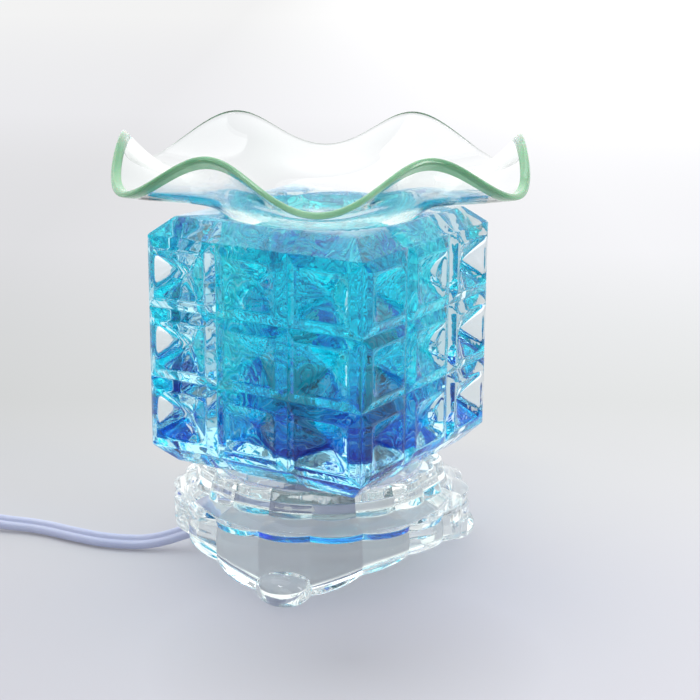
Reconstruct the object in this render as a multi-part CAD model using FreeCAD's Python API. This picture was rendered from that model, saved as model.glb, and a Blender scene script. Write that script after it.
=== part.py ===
import FreeCAD, Part
import math
import os

# A wax melt warmer. A wavy clear glass dish rests in the round opening of a pressed
# glass block with a blue lined cavity. The block is clamped to a scalloped clear glass
# base by a threaded tube, which also carries a push-in halogen lamp under the dish.
# A flat two-core lead runs out under the base, through an inline dimmer, to a coil of
# spare lead and a two-blade plug.
# Millimetres. The origin is the middle of the base, on the surface it stands on, +Z is
# up, and the block's near corner looks towards -Y.

Vec = FreeCAD.Vector
UP = Vec(0, 0, 1)
SIDE = Vec(1, 0, 0)
DEPTH = Vec(0, 1, 0)
ZERO = Vec(0, 0, 0)

# Shared clearances and overruns
OVERRUN = 1.0
SEAT_GAP = 0.3
RUN_GAP = 0.05
TUBE_HOLE_GAP = 0.5

# Glass base: scalloped outline through two tiers and a skirt
SCALLOPS = 18
SCALLOP_BULGE = 1.9
CUSP_ANGLE = -3.1
BASE_HEIGHT = 34.9
BASE_TOP_CHAMFER = 0.8
UPPER_TOP_RADIUS = 38.5
UPPER_LOW_RADIUS = 40.6
UPPER_LOW_Z = 26.7
BAND_RADIUS = 48.1
BAND_TOP_Z = 24.0
BAND_GROOVE_DEPTH = 0.9
BAND_GROOVE_Z = 21.6
SKIRT_TOP_Z = 19.0
SKIRT_LOW_RADIUS = 47.8
SKIRT_LOW_Z = 3.2
ARCH_RISE = 10.7
ARCH_HALF_CHORD = 36.8
BASE_TOP_WALL = 6.0
UPPER_WALL = 7.1
SKIRT_WALL = 5.2
SHELF_WALL = 4.5

# Three bead feet, part of the glass base
FEET = 3
FOOT_ANGLE = -13.1
FOOT_PITCH_RADIUS = 47.3
FOOT_RADIAL = 7.7
FOOT_TANGENTIAL = 9.2
FOOT_VERTICAL = 5.8
FOOT_CENTRE_Z = 5.65

# Pressed glass block
BLOCK_TURN = -31.65
GASKET_THICK = 0.8
GASKET_RADIUS = 30.0
GASKET_BORE = 12.0
LINE_HALF = 40.0
GROOVE_DEPTH = 1.6
CORNER_CUT = 3.3
CHAMFER_RUN = 6.3
LOW_CHAMFER_HEIGHT = 6.4
FACE_HEIGHT = 69.8
TOP_CHAMFER_HEIGHT = 5.6
CELLS = 3
GROOVE_HALF_WIDTH = 3.35
CELL_LAND = 0.7
CELL_DEPTH = 4.8
CAVITY_RIM = 2.2
CAVITY_FLOOR_WALL = 8.0
CAVITY_LIP = 0.8

# Wavy glass dish
WAVES = 6
DISH_GLASS = 2.2
DISH_BOWL_GLASS = 3.4
DISH_SEAT_GLASS = 2.6
DISH_POLES_PER_WAVE = 8
DISH_CENTRE_RADIUS = 5.0
DISH_FLAT_RADIUS = 18.0
DISH_BOWL_DEPTH = 5.5
DISH_WALL_RUN = 5.0
DISH_SHOULDER_RUN = 6.0
DISH_FLANGE_RUN = 13.9
DISH_MID_RUN = 24.9
DISH_RIM_RUN = 35.9
DISH_SHOULDER_RISE = 3.9
DISH_FLANGE_RISE = 7.5
DISH_MID_RISE = 11.1
DISH_RIM_RISE = 17.0
DISH_RIM_WAVE = 6.8
DISH_MID_WAVE = 3.2
DISH_FLANGE_WAVE = 0.8
DISH_RIM_PULL = 2.8

# Threaded tube and what it clamps
TUBE_RADIUS = 5.0
TUBE_BORE = 3.5
THREAD_LEAD_IN = 0.6
TUBE_BELOW_NUT = 4.0
TUBE_ABOVE_NUT = 1.0
RUBBER_RADIUS = 12.0
RUBBER_THICK = 1.5
STEEL_RADIUS = 10.0
STEEL_THICK = 1.2
NUT_FLATS = 14.0
NUT_HEIGHT = 3.4
NUT_CHAMFER = 0.8

# Lamp holder bracket, holder and lamp
BRACKET_SHEET = 1.2
BRACKET_WIDTH = 11.0
BRACKET_TAB = 4.0
HOLDER_LENGTH = 21.6
HOLDER_WIDTH = 16.0
HOLDER_HEIGHT = 16.0
HOLDER_LIFT = 1.6
HOLDER_EDGE = 1.5
HOLDER_SLOT_LENGTH = 4.6
HOLDER_SLOT_WIDTH = 3.0
HOLDER_SLOT_DEPTH = 11.0
HOLDER_WIRE_GAP = 0.1
HOLDER_SCREW_RADIUS = 1.5
HOLDER_SCREW_HEAD = 2.7
HOLDER_SCREW_HEAD_HEIGHT = 1.7
HOLDER_SCREW_LENGTH = 5.0
HOLDER_SCREW_RISE = 5.0
PIN_SPACING = 9.0
PIN_RADIUS = 0.6
PIN_LOOP_RADIUS = 1.0
PIN_LENGTH = 8.0
PIN_EMBED = 3.0
CONTACT_SHEET = 0.3
CONTACT_WIDTH = 2.4
CONTACT_HEIGHT = 7.0
PINCH_LENGTH = 13.0
PINCH_THICK = 4.2
PINCH_HEIGHT = 9.5
PINCH_EDGE = 0.8
CAPSULE_RADIUS = 6.8
CAPSULE_HEIGHT = 22.0
CAPSULE_GLASS = 1.0
CAPSULE_SHOULDER = 3.0
CAPSULE_NUB_RADIUS = 1.6
CAPSULE_NUB_HEIGHT = 2.2
FILAMENT_RADIUS = 0.45
FILAMENT_POST_RADIUS = 0.25
FILAMENT_SPAN = 5.0
FILAMENT_RISE = 7.0

# Lead sizes
LEAD_WIDTH = 5.3
CORE_RADIUS = 0.9
CORE_SPACING = 3.6
FERRULE_RADIUS = 1.2
FERRULE_LENGTH = 4.0

# Side outlet under the base
ELBOW_RADIUS = 8.5
ELBOW_HEIGHT = 13.0
ELBOW_EDGE = 1.2
BOOT_ROOT_RADIUS = 5.4
BOOT_END_RADIUS = 3.7
BOOT_REACH = 28.0
BOOT_FALL_ANGLE = 12.0
BOOT_START_ABOVE_ELBOW_FLOOR = 7.4
BOOT_RIBS = 4
BOOT_RIB_WIDTH = 1.6
BOOT_RIB_DEPTH = 0.8

# Route of the free lead, from the outlet boot to the dimmer, chosen by hand
LEAD_ROUTE = [
    Vec(-28.0, 0.0, 10.95),
    Vec(-42.0, 0.0, 7.97),
    Vec(-57.0, -1.0, 2.75),
    Vec(-72.0, 0.3, 2.65),
    Vec(-84.5, 6.0, 2.65),
    Vec(-98.5, 14.2, 2.65),
    Vec(-113.0, 17.0, 3.0),
    Vec(-126.5, 18.0, 5.2),
    Vec(-138.0, 18.0, 5.2),
]

# Route from the dimmer to the coil, chosen by hand
LINK_ROUTE = [
    Vec(-190.0, 18.0, 5.2),
    Vec(-203.0, 18.0, 5.2),
    Vec(-217.0, 12.3, 3.9),
    Vec(-228.2, 1.0, 3.5),
    Vec(-236.15, -16.6, 3.5),
    Vec(-235.72, -35.6, 3.5),
]
RUN_SHARE = 0.45

# Coil of spare lead: spirals in on the floor layer and out again on top
COIL_CENTRE = Vec(-194.1, -40.9, 3.5)
COIL_OUTER = 41.5
COIL_STEP = 5.9
COIL_LAYER_TURNS = 3.375
COIL_CLIMB_TURNS = 0.5
COIL_START_ANGLE = 180.0
COIL_BIARCS_PER_TURN = 4
TIE_THICK = 0.6
TIE_WIDTH = 4.0
TIE_GAP = 0.2
TIE_ANGLE = -8.0
TIE_HEAD_LENGTH = 6.0
TIE_HEAD_WIDTH = 6.0
TIE_HEAD_HEIGHT = 3.6

# Inline dimmer
DIMMER_START = Vec(-138.0, 18.0, 0.0)
DIMMER_LENGTH = 52.0
DIMMER_WIDTH = 26.0
DIMMER_HEIGHT = 15.6
DIMMER_WALL = 1.8
DIMMER_CORNER = 6.0
DIMMER_EDGE = 2.2
DIMMER_SPLIT_GAP = 0.1
DIMMER_CORD_Z = 5.2
DIMMER_SPLIT_Z = 7.8
DIMMER_PORT_GAP = 0.2
GROMMET_LENGTH = 4.0
GROMMET_WALL = 0.9
WHEEL_RADIUS = 12.0
WHEEL_THICK = 5.0
WHEEL_PROUD = 3.0
WHEEL_LOW_Z = 6.4
WHEEL_RIDGES = 24
WHEEL_RIDGE_RADIUS = 0.8
WHEEL_SLOT_GAP = 0.4
WHEEL_MARK_RADIUS = 1.1
WHEEL_MARK_DEPTH = 0.5
SHAFT_RADIUS = 3.0
SHAFT_ABOVE_WHEEL = 1.2
POT_RADIUS = 6.8
BOARD_LENGTH = 39.0
BOARD_WIDTH = 18.0
BOARD_THICK = 1.2
BOARD_LIFT = 0.4
TRIAC_SIZE = Vec(9.0, 5.6, 2.4)
TRIAC_OFFSET = Vec(8.0, 6.0, 0)
CAPACITOR_SIZE = Vec(8.0, 4.0, 2.4)
CAPACITOR_OFFSET = Vec(-8.0, 7.0, 0)
TERMINAL_SIZE = Vec(4.0, 8.0, 3.8)
TERMINAL_SETBACK = 2.9
DIMMER_SCREW_RADIUS = 1.2
DIMMER_SCREW_HEAD = 2.2
DIMMER_SCREW_HEAD_HEIGHT = 1.2
DIMMER_SCREW_LENGTH = 9.0
DIMMER_SCREW_X = 21.0
DIMMER_SCREW_Y = 8.0
DIMMER_POST_WALL = 1.3

# Plug, lying beside the coil
PLUG_TAIL = 14.0
PLUG_LENGTH = 30.0
PLUG_WIDTH = 24.0
PLUG_HEIGHT = 18.0
PLUG_EDGE = 3.0
PLUG_BOOT_LENGTH = 13.0
PLUG_BOOT_RADIUS = 5.0
BLADE_LENGTH = 17.0
BLADE_WIDTH = 6.35
BLADE_THICK = 1.5
BLADE_SPACING = 12.7
BLADE_HOLE_RADIUS = 1.5
BLADE_HOLE_FROM_TIP = 3.2
BLADE_TIP_CHAMFER = 1.2

# Sizes and heights worked out from the sizes above
RIM_HALF = LINE_HALF - CHAMFER_RUN
CAVITY_RADIUS = RIM_HALF - CAVITY_RIM
BLOCK_BOTTOM = BASE_HEIGHT + GASKET_THICK
FACE_BOTTOM = BLOCK_BOTTOM + LOW_CHAMFER_HEIGHT
FACE_TOP = FACE_BOTTOM + FACE_HEIGHT
BLOCK_TOP = FACE_TOP + TOP_CHAMFER_HEIGHT
FLOOR_Z = BLOCK_BOTTOM + CAVITY_FLOOR_WALL
CEILING_Z = BASE_HEIGHT - BASE_TOP_WALL
HOLLOW_STEP_Z = BAND_TOP_Z - SHELF_WALL
LOW_NUT_TOP = CEILING_Z - RUBBER_THICK - STEEL_THICK
LOW_NUT_BOTTOM = LOW_NUT_TOP - NUT_HEIGHT
BRACKET_Z = FLOOR_Z + RUBBER_THICK
TOP_NUT_Z = BRACKET_Z + BRACKET_SHEET
TUBE_TOP = TOP_NUT_Z + NUT_HEIGHT + TUBE_ABOVE_NUT
TUBE_BOTTOM = LOW_NUT_BOTTOM - TUBE_BELOW_NUT
HOLDER_Z = TUBE_TOP + HOLDER_LIFT
HOLDER_TOP = HOLDER_Z + HOLDER_HEIGHT
BRACKET_LENGTH = HOLDER_LENGTH + 2 * (SEAT_GAP + BRACKET_SHEET)
PINCH_Z = HOLDER_TOP + SEAT_GAP
CAPSULE_Z = PINCH_Z + PINCH_HEIGHT
ELBOW_TOP = LOW_NUT_BOTTOM - SEAT_GAP
ELBOW_Z = ELBOW_TOP - ELBOW_HEIGHT
COIL_INNER = COIL_OUTER - COIL_STEP * COIL_LAYER_TURNS
COIL_TOTAL_TURNS = COIL_LAYER_TURNS * 2 + COIL_CLIMB_TURNS
TUBE_LEAD_RADIUS = LEAD_WIDTH / 2


def save(name, shape):
    """Writes one piece to its own file."""
    shape.exportStep(os.path.join("parts", name + ".step"))
    print(f"{name:22s} solids {len(shape.Solids)}  volume {shape.Volume:10.1f}  valid {shape.isValid()}")


def polar(radius, degrees, z=0.0):
    """A point at a radius and an angle from +X towards +Y."""
    angle = math.radians(degrees)
    return Vec(radius * math.cos(angle), radius * math.sin(angle), z)


def disc(radius, height, z, bore=0.0, centre=ZERO):
    """An upright cylinder with an optional bore."""
    solid = Part.makeCylinder(radius, height, centre + UP * z)
    if bore:
        solid = solid.cut(Part.makeCylinder(bore, height, centre + UP * z))
    return solid


def block(length, width, height, centre_of_base):
    """A box whose base is centred on a point."""
    corner = centre_of_base - Vec(length / 2, width / 2, 0)
    return Part.makeBox(length, width, height, corner)


def rounded_block(length, width, height, centre_of_base, corner, edge):
    """A box with rounded upright corners and rounded top and bottom edges."""
    solid = block(length, width, height, centre_of_base)
    upright = [e for e in solid.Edges if abs(e.tangentAt(e.FirstParameter).z) > 0.9]
    solid = solid.makeFillet(corner, upright)
    if edge:
        level = [e for e in solid.Edges if abs(e.BoundBox.ZLength) < edge / 2]
        solid = solid.makeFillet(edge, level)
    return solid


def polygon_prism(points, direction):
    """A closed outline of points pushed along a direction."""
    face = Part.Face(Part.makePolygon(points + [points[0]]))
    return face.extrude(direction)


def turned(solid, degrees):
    """A copy turned about the upright axis through the origin."""
    copy = solid.copy()
    copy.rotate(ZERO, UP, degrees)
    return copy


# The glass base


def scalloped_wire(radius, bulge, z):
    """A closed outline of equal arcs that meet in cusps on a circle."""
    pitch = 360.0 / SCALLOPS
    first = CUSP_ANGLE - 90.0
    edges = []
    for k in range(SCALLOPS):
        a = polar(radius, first + k * pitch, z)
        b = polar(radius + bulge, first + (k + 0.5) * pitch, z)
        c = polar(radius, first + (k + 1) * pitch, z)
        edges.append(Part.Arc(a, b, c).toShape())
    return Part.Wire(edges)


def glass_base():
    """Two scalloped tiers over an arched skirt with three bead feet, hollow below."""
    groove_radius = BAND_RADIUS - BAND_GROOVE_DEPTH
    levels = [
        (SKIRT_LOW_RADIUS, SKIRT_LOW_Z),
        (BAND_RADIUS, SKIRT_TOP_Z),
        (groove_radius, BAND_GROOVE_Z),
        (BAND_RADIUS, BAND_TOP_Z),
        (UPPER_LOW_RADIUS, UPPER_LOW_Z),
        (UPPER_TOP_RADIUS, BASE_HEIGHT - BASE_TOP_CHAMFER),
        (UPPER_TOP_RADIUS - BASE_TOP_CHAMFER, BASE_HEIGHT),
    ]
    outer = Part.makeLoft([scalloped_wire(r, SCALLOP_BULGE, z) for r, z in levels], True, True)
    solid = outer.cut(hollow_profile().revolve(ZERO, UP, 360))
    for k in range(FEET):
        solid = solid.cut(skirt_arch(FOOT_ANGLE + (k + 0.5) * 360.0 / FEET))
    for k in range(FEET):
        solid = solid.fuse(bead_foot(FOOT_ANGLE + k * 360.0 / FEET))
    solid = solid.cut(disc(TUBE_RADIUS + TUBE_HOLE_GAP, BASE_HEIGHT, 0))
    floor = block(BAND_RADIUS * 4, BAND_RADIUS * 4, BASE_HEIGHT, UP * -BASE_HEIGHT)
    return solid.cut(floor).removeSplitter()


def hollow_profile():
    """Half section of the space under the base, on the XZ plane."""
    upper = UPPER_LOW_RADIUS - UPPER_WALL
    lower = BAND_RADIUS - SKIRT_WALL
    points = [
        Vec(0, 0, -OVERRUN),
        Vec(lower, 0, -OVERRUN),
        Vec(lower, 0, HOLLOW_STEP_Z),
        Vec(upper, 0, UPPER_LOW_Z - (UPPER_LOW_RADIUS - UPPER_TOP_RADIUS) / 3),
        Vec(upper, 0, CEILING_Z),
        Vec(0, 0, CEILING_Z),
    ]
    return Part.Face(Part.makePolygon(points + [points[0]]))


def skirt_arch(from_camera):
    """A round-topped cutter that lifts the skirt's lower edge between two feet."""
    radius = (ARCH_HALF_CHORD ** 2 + ARCH_RISE ** 2) / (2 * ARCH_RISE)
    outward = polar(1.0, from_camera - 90.0)
    start = outward * FOOT_RADIAL + UP * (SKIRT_LOW_Z + ARCH_RISE - radius)
    return Part.makeCylinder(radius, BAND_RADIUS * 2, start, outward)


def bead_foot(from_camera):
    """One solid glass bead, longer round the base than across it."""
    bead = Part.makeSphere(FOOT_VERTICAL)
    shape = FreeCAD.Matrix()
    shape.scale(FOOT_RADIAL / FOOT_VERTICAL, FOOT_TANGENTIAL / FOOT_VERTICAL, 1)
    bead = bead.transformGeometry(shape)
    bead.rotate(ZERO, UP, from_camera - 90.0)
    bead.translate(polar(FOOT_PITCH_RADIUS, from_camera - 90.0, FOOT_CENTRE_Z))
    return bead


# The pressed glass block


def side_profile():
    """The block's outline seen from one side, as half width and height pairs."""
    full = LINE_HALF + GROOVE_DEPTH
    return [
        (RIM_HALF, BLOCK_BOTTOM),
        (LINE_HALF, FACE_BOTTOM),
        (full, FACE_BOTTOM + CORNER_CUT),
        (full, FACE_TOP - CORNER_CUT),
        (LINE_HALF, FACE_TOP),
        (RIM_HALF, BLOCK_TOP),
    ]


def block_envelope():
    """The block before its grooves and sunk cells."""
    full = LINE_HALF + GROOVE_DEPTH
    near = LINE_HALF - CORNER_CUT
    plan = []
    for k in range(4):
        for x, y in ((near, full), (LINE_HALF, LINE_HALF), (full, near)):
            angle = math.radians(-90.0 * k)
            turn_x = x * math.cos(angle) - y * math.sin(angle)
            turn_y = x * math.sin(angle) + y * math.cos(angle)
            plan.append(Vec(turn_x, turn_y, 0))
    solid = polygon_prism(plan, UP * BLOCK_TOP)
    half = side_profile()
    span = full + OVERRUN
    along_x = [Vec(-span, y, z) for y, z in half] + [Vec(-span, -y, z) for y, z in reversed(half)]
    along_y = [Vec(x, -span, z) for x, z in half] + [Vec(-x, -span, z) for x, z in reversed(half)]
    solid = solid.common(polygon_prism(along_x, SIDE * span * 2))
    return solid.common(polygon_prism(along_y, DEPTH * span * 2))


def upright_groove(x):
    """A V groove down one face that follows the face, its flanks and both chamfers."""
    full = LINE_HALF + GROOVE_DEPTH
    surface = side_profile()
    spine = [(half - GROOVE_DEPTH, z) for half, z in surface]
    low_slope = (spine[1][0] - spine[0][0]) / (spine[1][1] - spine[0][1])
    top_slope = (spine[-1][0] - spine[-2][0]) / (spine[-1][1] - spine[-2][1])
    first = (spine[0][0] - low_slope * OVERRUN, spine[0][1] - OVERRUN)
    last = (spine[-1][0] + top_slope * OVERRUN, spine[-1][1] + OVERRUN)
    wires = []
    for y, z in [first] + spine[1:-1] + [last]:
        reach = full + OVERRUN
        half_width = GROOVE_HALF_WIDTH * (reach - y) / GROOVE_DEPTH
        if y < LINE_HALF - GROOVE_DEPTH:
            reach = y + GROOVE_DEPTH + OVERRUN
            half_width = GROOVE_HALF_WIDTH * (reach - y) / GROOVE_DEPTH
        corners = [Vec(x, y, z), Vec(x + half_width, reach, z), Vec(x - half_width, reach, z)]
        wires.append(Part.makePolygon(corners + [corners[0]]))
    return Part.makeLoft(wires, True, True)


def level_groove(z):
    """A straight V groove across one face."""
    reach = GROOVE_DEPTH + OVERRUN
    half_width = GROOVE_HALF_WIDTH * reach / GROOVE_DEPTH
    start = -LINE_HALF * 2
    corners = [
        Vec(start, LINE_HALF, z),
        Vec(start, LINE_HALF + reach, z + half_width),
        Vec(start, LINE_HALF + reach, z - half_width),
    ]
    return polygon_prism(corners, SIDE * LINE_HALF * 4)


def sunk_cell(x, z, half_width, half_height):
    """A four-sided hollow that runs to a point inside the face."""
    full = LINE_HALF + GROOVE_DEPTH
    grow = (CELL_DEPTH + OVERRUN) / CELL_DEPTH
    w = half_width * grow
    h = half_height * grow
    y = full + OVERRUN
    tip = Vec(x, full - CELL_DEPTH, z)
    ring = [Vec(x - w, y, z - h), Vec(x + w, y, z - h), Vec(x + w, y, z + h), Vec(x - w, y, z + h)]
    faces = [Part.Face(Part.makePolygon(ring + [ring[0]]))]
    for k in range(4):
        a = ring[k]
        b = ring[(k + 1) % 4]
        faces.append(Part.Face(Part.makePolygon([a, b, tip, a])))
    solid = Part.makeSolid(Part.makeShell(faces))
    if solid.Volume < 0:
        solid.reverse()
    return solid


def glass_block():
    """The faceted block with its round cavity and the hole for the threaded tube."""
    column = 2 * LINE_HALF / CELLS
    row = FACE_HEIGHT / CELLS
    half_width = column / 2 - GROOVE_HALF_WIDTH - CELL_LAND
    half_height = row / 2 - GROOVE_HALF_WIDTH - CELL_LAND
    cutters = []
    for face in range(4):
        parts = []
        for k in range(1, CELLS):
            parts.append(upright_groove(-LINE_HALF + k * column))
            parts.append(level_groove(FACE_BOTTOM + k * row))
        for i in range(CELLS):
            for j in range(CELLS):
                x = -LINE_HALF + (i + 0.5) * column
                z = FACE_BOTTOM + (j + 0.5) * row
                parts.append(sunk_cell(x, z, half_width, half_height))
        cutters += [turned(part, 90.0 * face) for part in parts]
    solid = block_envelope().cut(cutters)
    solid = solid.cut(disc(CAVITY_RADIUS, BLOCK_TOP, FLOOR_Z))
    lip = Part.makeCone(CAVITY_RADIUS, CAVITY_RADIUS + CAVITY_LIP, CAVITY_LIP, UP * (BLOCK_TOP - CAVITY_LIP))
    solid = solid.cut(lip)
    solid = solid.cut(disc(TUBE_RADIUS + TUBE_HOLE_GAP, FLOOR_Z, 0))
    return turned(solid, BLOCK_TURN)


# The wavy dish


def dish_stations():
    """Radius, height, glass, wave height and pull-in of the mid surface, centre to rim."""
    seat_radius = CAVITY_RADIUS - SEAT_GAP * 4
    seat_z = BLOCK_TOP + SEAT_GAP * 2
    bowl_z = BLOCK_TOP - DISH_BOWL_DEPTH + DISH_GLASS / 2
    corner_z = BLOCK_TOP - DISH_BOWL_DEPTH + DISH_BOWL_GLASS / 2
    return [
        (DISH_CENTRE_RADIUS, bowl_z, DISH_GLASS, 0.0, 0.0),
        (DISH_FLAT_RADIUS, bowl_z, DISH_GLASS, 0.0, 0.0),
        (seat_radius - DISH_WALL_RUN, corner_z, DISH_BOWL_GLASS, 0.0, 0.0),
        (seat_radius, seat_z, DISH_SEAT_GLASS, 0.0, 0.0),
        (seat_radius + DISH_SHOULDER_RUN, seat_z + DISH_SHOULDER_RISE, DISH_GLASS, 0.0, 0.0),
        (seat_radius + DISH_FLANGE_RUN, seat_z + DISH_FLANGE_RISE, DISH_GLASS, DISH_FLANGE_WAVE, 0.0),
        (seat_radius + DISH_MID_RUN, seat_z + DISH_MID_RISE, DISH_GLASS, DISH_MID_WAVE, 0.0),
        (seat_radius + DISH_RIM_RUN, seat_z + DISH_RIM_RISE, DISH_GLASS, DISH_RIM_WAVE, DISH_RIM_PULL),
    ]


def dish_section(angle):
    """Control points of the closed glass section at one angle, top centre to bottom centre."""
    step = 2 * math.pi / (WAVES * DISH_POLES_PER_WAVE)
    ring_gain = 3 / (2 + math.cos(step))
    wave_gain = 3 / (2 + math.cos(WAVES * step))
    wave = math.cos(WAVES * angle) * wave_gain
    line = []
    for radius, z, glass, height, pull in dish_stations():
        line.append((radius * ring_gain - pull * wave, z + height * wave, glass / 2))
    top = []
    low = []
    for k, (radius, z, half) in enumerate(line):
        before = line[max(k - 1, 0)]
        after = line[min(k + 1, len(line) - 1)]
        slope = math.atan2(after[1] - before[1], after[0] - before[0])
        lean = half * math.sin(slope) if k else 0.0
        top.append((radius - lean, z + half * math.cos(slope)))
        low.append((radius + lean, z - half * math.cos(slope)))
    reach = DISH_GLASS / 2 * math.cos(slope)
    lift = DISH_GLASS / 2 * math.sin(slope)
    rim_top = (top[-1][0] + reach, top[-1][1] + lift)
    rim_low = (low[-1][0] + reach, low[-1][1] + lift)
    return top + [rim_top, rim_low] + low[::-1]


def glass_dish():
    """One smooth skin from the bowl's middle, round the wavy rim and back below, capped flat."""
    columns = WAVES * DISH_POLES_PER_WAVE
    sections = [dish_section(2 * math.pi * k / columns) for k in range(columns)]
    poles = []
    for i in range(len(sections[0])):
        row = []
        for k in range(columns):
            r, z = sections[k][i]
            angle = 2 * math.pi * k / columns
            row.append(Vec(r * math.cos(angle), r * math.sin(angle), z))
        poles.append(row)
    degree = 3
    inner_knots = len(poles) - degree + 1
    across = [degree + 1] + [1] * (inner_knots - 2) + [degree + 1]
    surface = Part.BSplineSurface()
    surface.buildFromPolesMultsKnots(
        poles,
        across,
        [1] * (columns + 1),
        [float(k) for k in range(inner_knots)],
        [float(k) for k in range(columns + 1)],
        False,
        True,
        degree,
        degree,
    )
    skin = surface.toShape()
    rims = [e for e in skin.Edges if e.isClosed() and abs(e.BoundBox.ZLength) < DISH_GLASS / 10]
    faces = [skin] + [Part.Face(Part.Wire([e])) for e in rims]
    shell = Part.makeShell(faces)
    shell.sewShape()
    solid = Part.makeSolid(shell)
    if solid.Volume < 0:
        solid.reverse()
    return solid


# Clamping hardware


def threaded_tube():
    """Hollow threaded tube with chamfered ends."""
    height = TUBE_TOP - TUBE_BOTTOM
    solid = disc(TUBE_RADIUS, height, TUBE_BOTTOM, TUBE_BORE)
    rims = [e for e in solid.Edges if e.isClosed()]
    outer_rims = [e for e in rims if e.Curve.Radius > TUBE_BORE + RUN_GAP]
    return solid.makeChamfer(THREAD_LEAD_IN, outer_rims)


def hex_nut(z):
    """A hexagon nut with turned corners, on the threaded tube."""
    corner = NUT_FLATS / math.sqrt(3)
    points = [polar(corner, 60.0 * k, z) for k in range(6)]
    solid = polygon_prism(points, UP * NUT_HEIGHT)
    narrow = corner - NUT_CHAMFER
    wide = corner + NUT_HEIGHT
    low = Part.makeCone(narrow, wide, NUT_CHAMFER + NUT_HEIGHT, UP * z)
    high = Part.makeCone(wide, narrow, NUT_CHAMFER + NUT_HEIGHT, UP * (z - NUT_CHAMFER))
    solid = solid.common(low).common(high)
    return solid.cut(disc(TUBE_RADIUS + RUN_GAP, NUT_HEIGHT, z))


def outlet_direction():
    """The way the lead leaves the base: towards -X and a little down."""
    fall = math.radians(BOOT_FALL_ANGLE)
    return Vec(-math.cos(fall), 0, -math.sin(fall))


def cord_outlet():
    """Moulded side outlet on the tube's lower end, with a tapered, grooved boot for the lead."""
    body = disc(ELBOW_RADIUS, ELBOW_HEIGHT, ELBOW_Z)
    rounded = [e for e in body.Edges if e.Curve.TypeId == "Part::GeomCircle"]
    body = body.makeFillet(ELBOW_EDGE, rounded)
    direction = outlet_direction()
    start = UP * (ELBOW_Z + BOOT_START_ABOVE_ELBOW_FLOOR)
    length = BOOT_REACH / math.cos(math.radians(BOOT_FALL_ANGLE))
    boot = Part.makeCone(BOOT_ROOT_RADIUS, BOOT_END_RADIUS, length, start, direction)
    solid = body.fuse(boot)
    grooves = []
    spacing = (length - ELBOW_RADIUS) / (BOOT_RIBS + 1)
    for k in range(1, BOOT_RIBS + 1):
        along = ELBOW_RADIUS + k * spacing
        radius = BOOT_ROOT_RADIUS + (BOOT_END_RADIUS - BOOT_ROOT_RADIUS) * along / length
        place = start + direction * (along - BOOT_RIB_WIDTH / 2)
        outer = Part.makeCylinder(radius + OVERRUN, BOOT_RIB_WIDTH, place, direction)
        core = Part.makeCylinder(radius - BOOT_RIB_DEPTH, BOOT_RIB_WIDTH, place, direction)
        grooves.append(outer.cut(core))
    solid = solid.cut(grooves)
    solid = solid.cut(disc(TUBE_RADIUS + RUN_GAP, ELBOW_TOP - TUBE_BOTTOM + SEAT_GAP, TUBE_BOTTOM - SEAT_GAP))
    chamber_low = ELBOW_Z + ELBOW_EDGE
    return solid.cut(disc(TUBE_BORE, TUBE_BOTTOM - chamber_low, chamber_low))


# Lamp holder and lamp


def holder_bracket():
    """U-shaped steel strip that the upper nut clamps to the floor of the cavity."""
    solid = block(BRACKET_LENGTH, BRACKET_WIDTH, BRACKET_SHEET, UP * BRACKET_Z)
    arm = HOLDER_Z + HOLDER_SCREW_RISE + BRACKET_TAB - BRACKET_Z
    for side in (-1, 1):
        x = side * (BRACKET_LENGTH / 2 - BRACKET_SHEET / 2)
        solid = solid.fuse(block(BRACKET_SHEET, BRACKET_WIDTH, arm, Vec(x, 0, BRACKET_Z)))
    solid = solid.cut(disc(TUBE_RADIUS + RUN_GAP, BRACKET_SHEET, BRACKET_Z))
    return solid.cut(holder_screw_core(HOLDER_SCREW_RADIUS + RUN_GAP)).removeSplitter()


def holder_screw_core(radius):
    """A bar along X through both arms, at the height of the holder's screws."""
    z = HOLDER_Z + HOLDER_SCREW_RISE
    return Part.makeCylinder(radius, BRACKET_LENGTH, Vec(-BRACKET_LENGTH / 2, 0, z), SIDE)


def lamp_holder():
    """Ceramic lamp holder with two pin slots, wire holes and screw holes."""
    corner = HOLDER_EDGE * 2
    solid = rounded_block(HOLDER_LENGTH, HOLDER_WIDTH, HOLDER_HEIGHT, UP * HOLDER_Z, corner, HOLDER_EDGE / 2)
    for side in (-1, 1):
        centre = Vec(side * PIN_SPACING / 2, 0, HOLDER_TOP - HOLDER_SLOT_DEPTH)
        solid = solid.cut(block(HOLDER_SLOT_WIDTH, HOLDER_SLOT_LENGTH, HOLDER_SLOT_DEPTH, centre))
        wire = Vec(side * CORE_SPACING / 2, 0, HOLDER_Z)
        solid = solid.cut(Part.makeCylinder(FERRULE_RADIUS + HOLDER_WIRE_GAP, FERRULE_LENGTH + OVERRUN, wire))
        end = Vec(side * HOLDER_LENGTH / 2, 0, HOLDER_Z + HOLDER_SCREW_RISE)
        depth = HOLDER_SCREW_LENGTH - BRACKET_SHEET
        solid = solid.cut(Part.makeCylinder(HOLDER_SCREW_RADIUS + RUN_GAP, depth, end, SIDE * -side))
    return solid


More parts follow.
